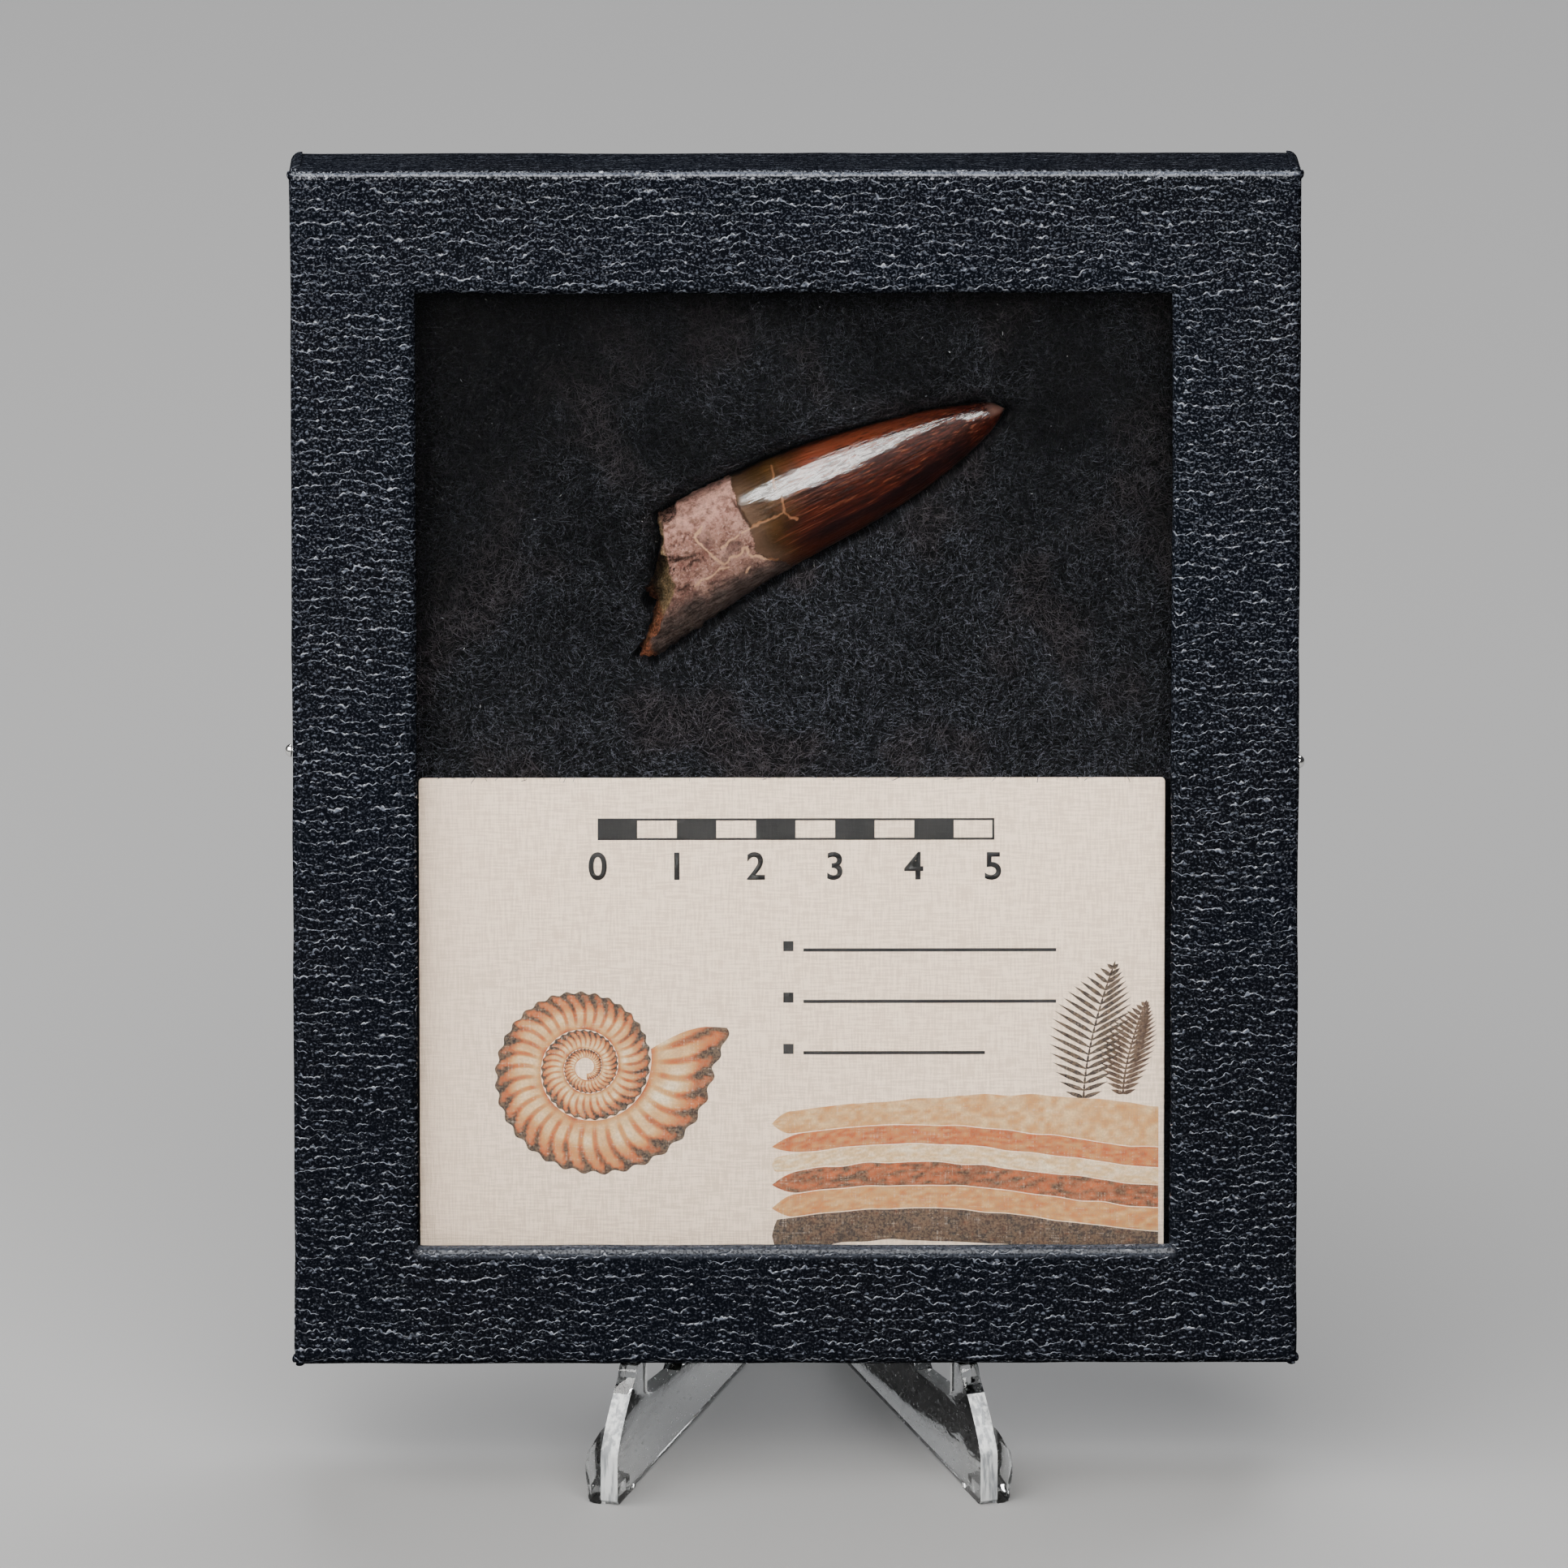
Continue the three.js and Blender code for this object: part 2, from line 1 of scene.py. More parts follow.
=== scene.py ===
"""Dresses the fossil tooth, its display case and its easel with finished pieces, materials and a studio."""

import math

import bmesh
import bpy
import numpy as np
from mathutils import Euler, Matrix, Vector


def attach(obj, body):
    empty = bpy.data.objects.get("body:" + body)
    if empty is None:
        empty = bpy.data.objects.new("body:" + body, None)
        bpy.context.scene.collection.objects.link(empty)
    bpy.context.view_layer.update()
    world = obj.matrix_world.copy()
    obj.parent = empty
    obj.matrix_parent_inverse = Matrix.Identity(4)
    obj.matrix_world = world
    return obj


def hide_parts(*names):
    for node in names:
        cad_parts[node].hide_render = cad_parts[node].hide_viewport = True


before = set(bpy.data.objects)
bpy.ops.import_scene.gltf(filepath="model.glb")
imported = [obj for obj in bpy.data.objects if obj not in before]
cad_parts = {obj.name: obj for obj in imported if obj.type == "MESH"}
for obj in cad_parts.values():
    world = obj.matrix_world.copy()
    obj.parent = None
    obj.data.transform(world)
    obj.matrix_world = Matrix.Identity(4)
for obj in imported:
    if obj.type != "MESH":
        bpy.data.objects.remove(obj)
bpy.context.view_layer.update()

bl_info = {
    "name": "Fossil Tooth Display",
    "version": (1, 0, 0),
    "blender": (4, 5, 0),
    "location": "View3D > Sidebar > Fossil Tooth",
    "description": "Finished pieces, materials and studio for a fossil tooth in its case on an easel",
    "category": "Object",
}

# ---------- the construction's own sizes, in millimetres ----------

MM = 0.001
GAP = 0.3
CASE_W, CASE_H, CASE_D = 127.0, 152.4, 19.0
HALF_W, HALF_H = CASE_W / 2, CASE_H / 2
WINDOW_W, WINDOW_H = 95.2, 121.6
WINDOW_X = WINDOW_UP = -0.2
LID_BOARD = 1.6
LID_WALL = 1.5
TRAY_W = CASE_W - 2 * LID_WALL - 2 * GAP
TRAY_H = CASE_H - 2 * LID_WALL - 2 * GAP
TRAY_BACK = -CASE_D + 0.4
TRAY_FLOOR = TRAY_BACK + 1.6
GLASS_BACK = -LID_BOARD - GAP - 2.0
CARD_W, CARD_H, CARD_T = 94.3, 63.5, 0.4
CARD_X = -0.45
CARD_TOP = -1.45
CARD_FRONT = GLASS_BACK - GAP
CARD_BACK = CARD_FRONT - CARD_T
BATTING_W, BATTING_H = 120.0, 145.4
BATTING_BACK = TRAY_FLOOR + GAP
PIN_DEPTH = 10.5
PIN_UP = {"pin_left": 1.05, "pin_right": -0.55}
TOOTH_ROOT_X, TOOTH_ROOT_UP = -17.4, 22.9
TOOTH_RISE = math.radians(26.4)
TOOTH_TIP = 49.1
TOOTH_FLATNESS = 0.76
TOOTH_DEPTH = GLASS_BACK - GAP - 7.5 * TOOTH_FLATNESS
TOOTH_ROOT = (TOOTH_ROOT_X, TOOTH_ROOT_UP, TOOTH_DEPTH)

LEAN = math.radians(11.0)
SPLAY = math.radians(19.2)
LEG_LENGTH = 84.0
LEG_T = 2.3
STAND_X = 0.4
TOE_X = 24.1
SEAT_Y, SEAT_Z = 5.0, 17.2
FROST_TOP = 13.3

TOE_LINE = -LEG_LENGTH * math.cos(SPLAY) / 2
CASE_PLACE = Vector((
    0.0,
    (TOE_LINE + SEAT_Y + HALF_H * math.sin(LEAN)) * MM,
    (SEAT_Z + HALF_H * math.cos(LEAN)) * MM,
))
CASE_TURN = Euler((math.pi / 2 - LEAN, 0.0, 0.0))
# Takes millimetres in the case (X right, Y up the face, Z out of the face) to the frame's metres.
CASE_FRAME = Matrix.Translation(CASE_PLACE) @ CASE_TURN.to_matrix().to_4x4() @ Matrix.Scale(MM, 4)
CORNERS = ((-1, 1), (1, 1), (-1, -1), (1, -1))


# ---------- small tools ----------

def clear_selection():
    """Leaves edit mode and deselects everything."""
    if bpy.context.object and bpy.context.object.mode != "OBJECT":
        bpy.ops.object.mode_set(mode="OBJECT")
    bpy.ops.object.select_all(action="DESELECT")


def take(*pieces):
    """Makes the given objects the only selected ones, and the first of them the active one."""
    clear_selection()
    for piece in pieces:
        piece.select_set(True)
    bpy.context.view_layer.objects.active = pieces[0]


def edit_all(piece):
    """Enters edit mode with everything selected."""
    take(piece)
    bpy.ops.object.mode_set(mode="EDIT")
    bpy.ops.mesh.select_all(action="SELECT")


def leave_edit():
    bpy.ops.object.mode_set(mode="OBJECT")


def select_parts(piece, faces=None, edges=None):
    """Enters edit mode with just the faces or edges selected that a test passes."""
    take(piece)
    bpy.ops.object.mode_set(mode="EDIT")
    bpy.ops.mesh.select_mode(type="FACE" if faces else "EDGE")
    bpy.ops.mesh.select_all(action="DESELECT")
    shape = bmesh.from_edit_mesh(piece.data)
    shape.normal_update()
    test = faces or edges
    for part in shape.faces if faces else shape.edges:
        part.select_set(bool(test(part)))
    shape.select_flush_mode()
    bmesh.update_edit_mesh(piece.data)


def drop_faces(piece, test):
    select_parts(piece, faces=test)
    bpy.ops.mesh.delete(type="FACE")
    leave_edit()


def round_edges(piece, test, offset, segments, clamp=False):
    """Bevels the edges that a test passes."""
    select_parts(piece, edges=test)
    bpy.ops.mesh.bevel(offset=offset, segments=segments, profile=0.5, affect="EDGES", clamp_overlap=clamp)
    leave_edit()


def edge_middle(edge):
    return (edge.verts[0].co + edge.verts[1].co) / 2


def rise_of(edge):
    """How far an edge runs through the case's depth."""
    return abs(edge.verts[0].co.z - edge.verts[1].co.z)


def bisect(piece, place, normal):
    """Cuts the whole mesh along a plane."""
    edit_all(piece)
    bpy.ops.mesh.bisect(plane_co=place, plane_no=normal, use_fill=False)
    leave_edit()


def apply_modifier(piece, kind, **settings):
    """Adds a modifier with the given settings and applies it."""
    take(piece)
    modifier = piece.modifiers.new(kind.title(), kind)
    for key, value in settings.items():
        setattr(modifier, key, value)
    bpy.ops.object.modifier_apply(modifier=modifier.name)


def bevel_corners(piece, width, segments, degrees):
    """Rounds every edge that turns by more than an angle."""
    apply_modifier(
        piece, "BEVEL", width=width, segments=segments, limit_method="ANGLE",
        angle_limit=math.radians(degrees), use_clamp_overlap=True)


def apply_place():
    """Writes a piece's place, turn and size into its mesh."""
    bpy.ops.object.transform_apply(location=True, rotation=True, scale=True)


def outward(piece, merge=0.0001):
    """Merges doubled vertices and turns the faces of a closed piece outwards."""
    edit_all(piece)
    bpy.ops.mesh.remove_doubles(threshold=merge)
    bpy.ops.mesh.normals_make_consistent(inside=False)
    leave_edit()


def smooth(piece, degrees):
    take(piece)
    bpy.ops.object.shade_smooth_by_angle(angle=math.radians(degrees))


def added(name):
    """Names the primitive that was just added and returns it."""
    piece = bpy.context.object
    piece.name = name
    piece.data.name = name
    return piece


def block(name, size, middle):
    """A cuboid at its size and place, as the start of a piece."""
    clear_selection()
    bpy.ops.mesh.primitive_cube_add(size=1.0, location=middle, scale=size)
    apply_place()
    return added(name)


def join(pieces, name):
    take(*pieces)
    bpy.ops.object.join()
    return added(name)


def put_in_scene(name, data):
    piece = bpy.data.objects.new(name, data)
    bpy.context.scene.collection.objects.link(piece)
    return piece


def node_object(name):
    """The Blender object of a CAD node."""
    piece = bpy.data.objects.get(name)
    if piece is None:
        raise RuntimeError(f"the frame has no node called {name}")
    return piece


def points_of(piece):
    """The vertices of a mesh as an array with one row each."""
    flat = np.empty(len(piece.data.vertices) * 3, dtype=np.float32)
    piece.data.vertices.foreach_get("co", flat)
    return flat.reshape(-1, 3).astype(float)


def move_points(piece, points):
    piece.data.vertices.foreach_set("co", np.asarray(points, dtype=np.float32).ravel())
    piece.data.update()


def store(piece, name, values):
    """Keeps one number for each vertex on the mesh, for a material to read."""
    layer = piece.data.attributes.new(name, "FLOAT", "POINT")
    layer.data.foreach_set("value", np.asarray(values, dtype=np.float32))


def paint(piece, *materials):
    piece.data.materials.clear()
    for material in materials:
        piece.data.materials.append(material)


def settle(piece, material, stands_for=(), place=CASE_FRAME):
    """Puts a finished piece in the frame, gives it its material and lets it ride on the part."""
    take(piece)
    if place is not None:
        piece.matrix_world = place
        apply_place()
    if material is not None:
        paint(piece, material)
    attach(piece, "root")
    if stands_for:
        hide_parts(*stands_for)
    clear_selection()


def smoothstep(low, high, value):
    span = np.clip((value - low) / (high - low), 0.0, 1.0)
    return span * span * (3.0 - 2.0 * span)


def grid_noise(x, y, size, seed):
    """Smooth value noise over arrays, from a seeded lattice of random heights."""
    lattice = np.random.default_rng(seed).random((256, 256))
    u = np.asarray(x, dtype=float) / size + 128.0
    v = np.asarray(y, dtype=float) / size + 128.0
    i, j = np.floor(u).astype(int), np.floor(v).astype(int)
    a, b = u - i, v - j
    a = a * a * (3 - 2 * a)
    b = b * b * (3 - 2 * b)
    i0, i1, j0, j1 = i % 256, (i + 1) % 256, j % 256, (j + 1) % 256
    low = lattice[i0, j0] * (1 - a) + lattice[i1, j0] * a
    high = lattice[i0, j1] * (1 - a) + lattice[i1, j1] * a
    return low * (1 - b) + high * b - 0.5


def noise_on(values, x, y, *layers):
    """Adds layers of smooth noise to values, each layer given as its height, size and seed."""
    for height, size, seed in layers:
        values = values + height * grid_noise(x, y, size, seed)
    return values


# ---------- node tools ----------

class Field:
    """An output in a material's nodes, which takes sums and products as a number does."""

    def __init__(self, tree, socket):
        self.tree = tree
        self.socket = socket

    def other(self, output):
        """Another output of the same node."""
        return Field(self.tree, self.socket.node.outputs[output])

    def __add__(self, value):
        return arith("ADD", self, value)

    def __sub__(self, value):
        return arith("SUBTRACT", self, value)

    def __rsub__(self, value):
        return arith("SUBTRACT", value, self)

    def __mul__(self, value):
        return arith("MULTIPLY", self, value)

    def __abs__(self):
        return arith("ABSOLUTE", self)


def feed(tree, socket, value):
    """Links a socket to a field, or sets its own value; a colour of three numbers is opaque."""
    if isinstance(value, Field):
        tree.links.new(value.socket, socket)
    elif socket.type == "RGBA" and len(value) == 3:
        socket.default_value = (*value, 1.0)
    else:
        socket.default_value = value


def node(tree, kind, output, inputs=None, **settings):
    """Adds a node and returns one of its outputs."""
    made = tree.nodes.new("ShaderNode" + kind)
    for key, value in settings.items():
        setattr(made, key, value)
    for key, value in (inputs or {}).items():
        feed(tree, made.inputs[key], value)
    return Field(tree, made.outputs[output])


def arith(operation, *values):
    tree = next(value.tree for value in values if isinstance(value, Field))
    return node(tree, "Math", 0, dict(enumerate(values)), operation=operation)


def clamped(field):
    """Keeps the result of the last sum or product between 0 and 1."""
    field.socket.node.use_clamp = True
    return field


def larger(a, b):
    return arith("MAXIMUM", a, b)


def shifted(vector, by):
    return node(vector.tree, "VectorMath", 0, {0: vector, 1: by}, operation="ADD")


def scaled(vector, by):
    return node(vector.tree, "VectorMath", 0, {0: vector, "Scale": by}, operation="SCALE")


def ramp(value, low, high, out_low=0.0, out_high=1.0):
    """A smooth step of a value from one number to another."""
    return node(
        value.tree, "MapRange", "Result",
        {"Value": value, "From Min": low, "From Max": high, "To Min": out_low, "To Max": out_high},
        interpolation_type="SMOOTHSTEP")


def mix(factor, a, b, kind="FLOAT"):
    """Goes from one number to another by a factor."""
    return node(factor.tree, "Mix", "Result", {"Factor": factor, "A": a, "B": b}, data_type=kind)


def blend(factor, a, b):
    """Goes from one colour to another by a factor."""
    return mix(factor, a, b, "RGBA")


def grain(vector, scale, detail, roughness=0.55, distortion=0.0):
    """Cloudy noise: the larger the scale, the finer it is."""
    return node(
        vector.tree, "TexNoise", "Fac",
        {"Vector": vector, "Scale": scale, "Detail": detail,
         "Roughness": roughness, "Distortion": distortion})


def cells(vector, scale):
    """Distance to the nearest of many scattered points."""
    return node(
        vector.tree, "TexVoronoi", "Distance", {"Vector": vector, "Scale": scale, "Randomness": 1.0})


def stretched(vector, x, y, z):
    """Scales a coordinate differently along its axes."""
    return node(vector.tree, "Mapping", 0, {"Vector": vector, "Scale": (x, y, z)})


def split(vector):
    made = node(vector.tree, "SeparateXYZ", 0, {"Vector": vector})
    return made, made.other(1), made.other(2)


def warped(vector, size, amount):
    """Pushes a coordinate about by smooth noise of a given size, in millimetres."""
    colour = node(vector.tree, "TexNoise", "Color", {"Vector": vector, "Scale": 1 / size, "Detail": 2.0})
    return node(
        vector.tree, "VectorMath", 0, {0: shifted(colour, (-0.5,) * 3), 1: (2 * amount,) * 3, 2: vector},
        operation="MULTIPLY_ADD")


def stored(place, name):
    """A value stored on the mesh."""
    return node(place.tree, "Attribute", "Fac", attribute_name=name)


def bump(height, distance, strength=1.0, under=None):
    """A bump whose height input runs from 0 to 1 over a distance in millimetres, on top of another one."""
    inputs = {"Height": height, "Strength": strength, "Distance": distance * MM}
    if under is not None:
        inputs["Normal"] = under
    return node(height.tree, "Bump", 0, inputs)


def object_place(tree):
    return node(tree, "TexCoord", "Object")


def plain_millimetres(tree):
    return scaled(object_place(tree), 1 / MM)


def case_millimetres(tree):
    """Object coordinates as millimetres in the case: X right, Y up the face, Z out of it."""
    return node(
        tree, "Mapping", 0,
        {"Vector": object_place(tree), "Location": CASE_PLACE, "Rotation": CASE_TURN, "Scale": (MM,) * 3},
        vector_type="TEXTURE")


def tooth_millimetres(tree):
    """Millimetres along the tooth, across its width and through it."""
    return node(
        tree, "Mapping", 0,
        {"Vector": case_millimetres(tree), "Location": TOOTH_ROOT, "Rotation": (0.0, 0.0, TOOTH_RISE)},
        vector_type="TEXTURE")


def new_material(name, coordinates):
    """An empty node material, and the coordinates that its pattern reads."""
    material = bpy.data.materials.new(name)
    material.use_nodes = True
    material.node_tree.nodes.clear()
    return material, coordinates(material.node_tree)


def finished(material, looks):
    """Gives a material its Principled shader, fed by name with numbers, colours and fields."""
    tree = material.node_tree
    output = tree.nodes.new("ShaderNodeOutputMaterial")
    shader = tree.nodes.new("ShaderNodeBsdfPrincipled")
    tree.links.new(shader.outputs[0], output.inputs[0])
    for name, value in looks.items():
        feed(tree, shader.inputs[name], value)
    return material


# ---------- materials ----------

ROW_PITCH = 1.32


def leatherette_material(colour):
    """Black embossed paper: long low pads with wavy rims across the case, and small pebbles between."""
    material, place = new_material("leatherette_black", case_millimetres)
    x, y, z = split(place)
    # Rows follow the height on the face and the sides, and the depth on the top and the bottom.
    turned = ramp(abs(y), HALF_H - 1.3, HALF_H - 0.6)
    # The small pebbles scallop the long rims: each rim arches over the pebbles it meets.
    arch = cells(place, 1.25) * 0.70 + turned * z
    arched = shifted(place, node(place.tree, "CombineXYZ", 0, {"Y": arch}))
    bent = warped(warped(arched, 9.0, 2.4), 2.4, 0.55)
    row = arith("FRACT", split(bent)[1] * (1 / ROW_PITCH))
    rims = ramp(row, 0.0, 0.14) * ramp(row, 1.0, 0.90)

    # Pads: long low rows parted by thin creases that fade in and out.
    depth = ramp(grain(stretched(place, 0.30, 0.85, 0.85), 1.0, 2.0), 0.42, 0.53)
    creased = (rims - 1.0) * depth
    # Pebbles here and there on the pads.
    pebble = cells(place, 1.9)
    chosen = node(place.tree, "SeparateColor", 0, {"Color": pebble.other("Color")})
    dome = ramp(pebble, 0.30, 0.06) * ramp(chosen, 0.58, 0.70)
    fine = grain(place, 3.2, 2.0)
    relief = bump(creased + 1.0, 0.07)
    relief = bump(dome, 0.055, 1.0, relief)
    relief = bump(fine, 0.022, 0.8, relief)
    # The upward-facing rims carry a painted highlight, and the dye drifts between blue-black and
    # brown-black.
    upward_rim_highlight = ramp(row, 0.83, 0.90) * ramp(row, 1.0, 0.94) * depth
    rubbing_and_glints = upward_rim_highlight * ramp(grain(place, 1.1, 2.0), 0.41, 0.55, 0.20, 0.95)
    # The pebbles' domes carry a weaker painted highlight.
    rubbing_and_glints = larger(rubbing_and_glints, dome * 0.40)

    def pebble_distance(shift):
        return cells(shifted(place, (0.0, shift, 0.0)), 1.55)

    # Painted highlights: little crescents on the upper side of the pebbles between the rims.
    slope = pebble_distance(0.10) - pebble_distance(-0.10)
    pebble_highlight = ramp(slope, 0.16, 0.27) * ramp(pebble_distance(0.0), 0.26, 0.40)
    pebble_highlight = pebble_highlight * ramp(grain(place, 0.8, 2.0), 0.42, 0.58, 0.05, 0.65)
    rubbing_and_glints = larger(rubbing_and_glints, pebble_highlight)
    # A painted highlight lies where the paper turns over the top front edge and the window's lower edge.
    window_foot = abs(y - (WINDOW_UP - WINDOW_H / 2 - 0.4))
    in_window = ramp(abs(x), WINDOW_W / 2 + 1.0, WINDOW_W / 2 - 0.4)
    foot_highlight = ramp(window_foot, 1.3, 0.7, 0.0, 0.35) * in_window
    brow_highlight = ramp(y, HALF_H - 0.8, HALF_H - 0.5) * ramp(z, -0.6, -0.3)
    edge_highlight = larger(foot_highlight, brow_highlight) * ramp(fine, 0.34, 0.58, 0.20, 0.85)
    rubbing_and_glints = larger(rubbing_and_glints, edge_highlight)
    # Small dull painted glints between the rims, fewer towards the foot of the case.
    glints = ramp(fine, 0.53, 0.64) * ramp(y, -60.0, 60.0, 0.10, 0.30)
    rubbing_and_glints = larger(rubbing_and_glints, glints)
    # The painted highlights and the coat are weaker on the top and the bottom.
    glint_and_coat_share = 1.0 - turned * ramp(z, -0.6, -1.4) * 0.6
    rubbing_and_glints = rubbing_and_glints * glint_and_coat_share
    brown = tuple(part * share for part, share in zip(colour, (1.25, 1.05, 0.85)))
    tinted = blend(ramp(grain(place, 0.03, 2.0), 0.35, 0.65, 0.0, 0.6), colour, brown)
    # The painted highlights lighten the paper towards blue-grey.
    with_glints = blend(rubbing_and_glints * 0.9, tinted, (0.078, 0.088, 0.112))
    return finished(material, {
        "Normal": relief,
        "Coat Normal": relief,
        "Base Color": with_glints,
        "Roughness": ramp(rubbing_and_glints, 0.0, 0.6, 0.36, 0.17),
        "Coat Weight": clamped(rubbing_and_glints * glint_and_coat_share),
        "Coat Roughness": 0.17,
        "Coat IOR": 1.6,
        "Specular IOR Level": 0.0,
    })


def tray_material():
    """Matte black covering paper with faint fibres and rubbed patches."""
    material, place = new_material("tray_paper_black", case_millimetres)
    fibres = grain(stretched(place, 0.8, 5.0, 0.8), 1.0, 4.0)
    rubbing_and_glints = grain(place, 0.06, 3.0)
    colour = blend(ramp(rubbing_and_glints, 0.4, 0.7, 0.0, 0.22), (0.011, 0.011, 0.0125), (0.028, 0.028, 0.030))
    colour = blend(ramp(fibres, 0.55, 0.7, 0.0, 0.4), colour, (0.045, 0.045, 0.049))
    return finished(material, {
        "Base Color": colour,
        "Roughness": ramp(rubbing_and_glints, 0.3, 0.7, 0.75, 0.55),
        "Normal": bump(fibres, 0.06, 0.5),
    })


def glass_material():
    """Clear pane glass with barely uneven polish."""
    material, place = new_material("pane_glass", case_millimetres)
    dust = grain(place, 0.9, 4.0)
    return finished(material, {
        "Roughness": ramp(dust, 0.55, 0.8, 0.0, 0.03),
        "Base Color": (0.985, 0.99, 0.99),
        "Transmission Weight": 1.0,
        "IOR": 1.46,
    })


def clear_plastic_material():
    """Clear moulded styrene with faint flow lines and handling scuffs."""
    material, place = new_material("easel_clear_styrene", plain_millimetres)
    flow = grain(stretched(place, 0.35, 0.12, 0.5), 1.0, 2.0, distortion=0.6)
    scuffs = ramp(grain(stretched(place, 2.5, 0.7, 2.5), 1.0, 5.0), 0.56, 0.68, 0.0, 0.28)
    return finished(material, {
        "Roughness": scuffs,
        "Normal": bump(flow, 0.06, 0.5),
        "Base Color": (0.97, 0.985, 0.99),
        "Transmission Weight": 1.0,
        "IOR": 1.49,
    })


def frosted_plastic_material():
    """The sawn, frosted front edge of the same plastic."""
    material, place = new_material("easel_frosted_edge", plain_millimetres)
    saw = grain(stretched(place, 4.0, 4.0, 0.5), 1.0, 3.0)
    cloud = grain(stretched(place, 1.6, 1.6, 0.22), 1.0, 4.0)
    return finished(material, {
        "Base Color": blend(ramp(cloud, 0.40, 0.60), (0.17, 0.18, 0.19), (0.44, 0.45, 0.45)),
        "Roughness": ramp(saw, 0.3, 0.7, 0.35, 0.6),
        "Normal": bump(saw, 0.08, 0.6),
        "Transmission Weight": 0.25,
        "IOR": 1.49,
    })


def pin_material():
    """Nickel plating with fine polishing rings."""
    material, place = new_material("pin_nickel", plain_millimetres)
    marks = grain(place, 6.0, 3.0)
    return finished(material, {
        "Base Color": blend(marks, (0.68, 0.67, 0.65), (0.82, 0.82, 0.81)),
        "Roughness": ramp(marks, 0.3, 0.7, 0.1, 0.26),
        "Metallic": 1.0,
    })


def linen(place):
    """The card's weave: fine threads both ways."""
    warp = grain(stretched(place, 0.35, 4.2, 1.0), 1.0, 2.0)
    return warp + grain(stretched(place, 4.2, 0.35, 1.0), 1.0, 2.0)


def card_material(colour):
    """Cream card with a fine linen emboss."""
    material, place = new_material("card_linen_cream", case_millimetres)
    weave = linen(place)
    left = CARD_X - CARD_W / 2
    warm = ramp(split(place)[0], left + 14.0, left, 0.0, 0.35)
    shade = blend(ramp(weave, 0.85, 1.15), (0.80, 0.62, 0.47), colour)
    return finished(material, {
        "Base Color": blend(warm, shade, (0.90, 0.69, 0.53)),
        "Normal": bump(weave, 0.08, 0.8),
        "Roughness": 0.8,
    })


def ink_material(name, colour, fade):
    """Printing ink that the card's weave breaks up a little."""
    material, place = new_material(name, case_millimetres)
    weave = linen(place)
    patch = ramp(grain(place, 0.35, 3.0), 0.35, 0.65, 0.0, 0.5)
    toned = blend(patch, colour, fade)
    return finished(material, {
        "Base Color": blend(ramp(weave, 1.0, 1.25, 0.0, 0.5), toned, fade),
        "Normal": bump(weave, 0.05, 0.5),
        "Roughness": 0.6,
    })


def batting_material(name, light):
    """Charcoal fibre with a cool sheen, in drifts of deeper and paler black, with painted shade towards the
    top and both sides.
    """
    material, place = new_material(name, case_millimetres)
    x, y, _ = split(place)
    fleck = grain(stretched(place, 1.6, 3.4, 2.4), 1.0, 3.0)
    # The colour drifts at random, and painted shade darkens it upwards and to both sides, leaving it paler
    # in the lower middle.
    drift = grain(warped(place, 12.0, 4.0), 0.075, 3.0) * 110.0
    drift_and_shade = ramp(drift + abs(x - 5.0) * -0.55 + y * -0.8, -16.0, 52.0, 0.09, 0.50)
    dark, pale, brown = (
        tuple(light * part for part in colour)
        for colour in ((0.0012, 0.0014, 0.0020), (0.0250, 0.0262, 0.0325), (0.0135, 0.0105, 0.0115)))
    colour = blend(ramp(fleck, 0.42, 0.62), dark, pale)
    colour = blend(ramp(grain(place, 0.07, 2.0), 0.50, 0.62, 0.0, 0.7), colour, brown)
    return finished(material, {
        "Base Color": scaled(colour, drift_and_shade),
        "Normal": bump(fleck, 0.35, 0.8),
        "Roughness": 0.7,
        "Specular IOR Level": 0.16,
    })


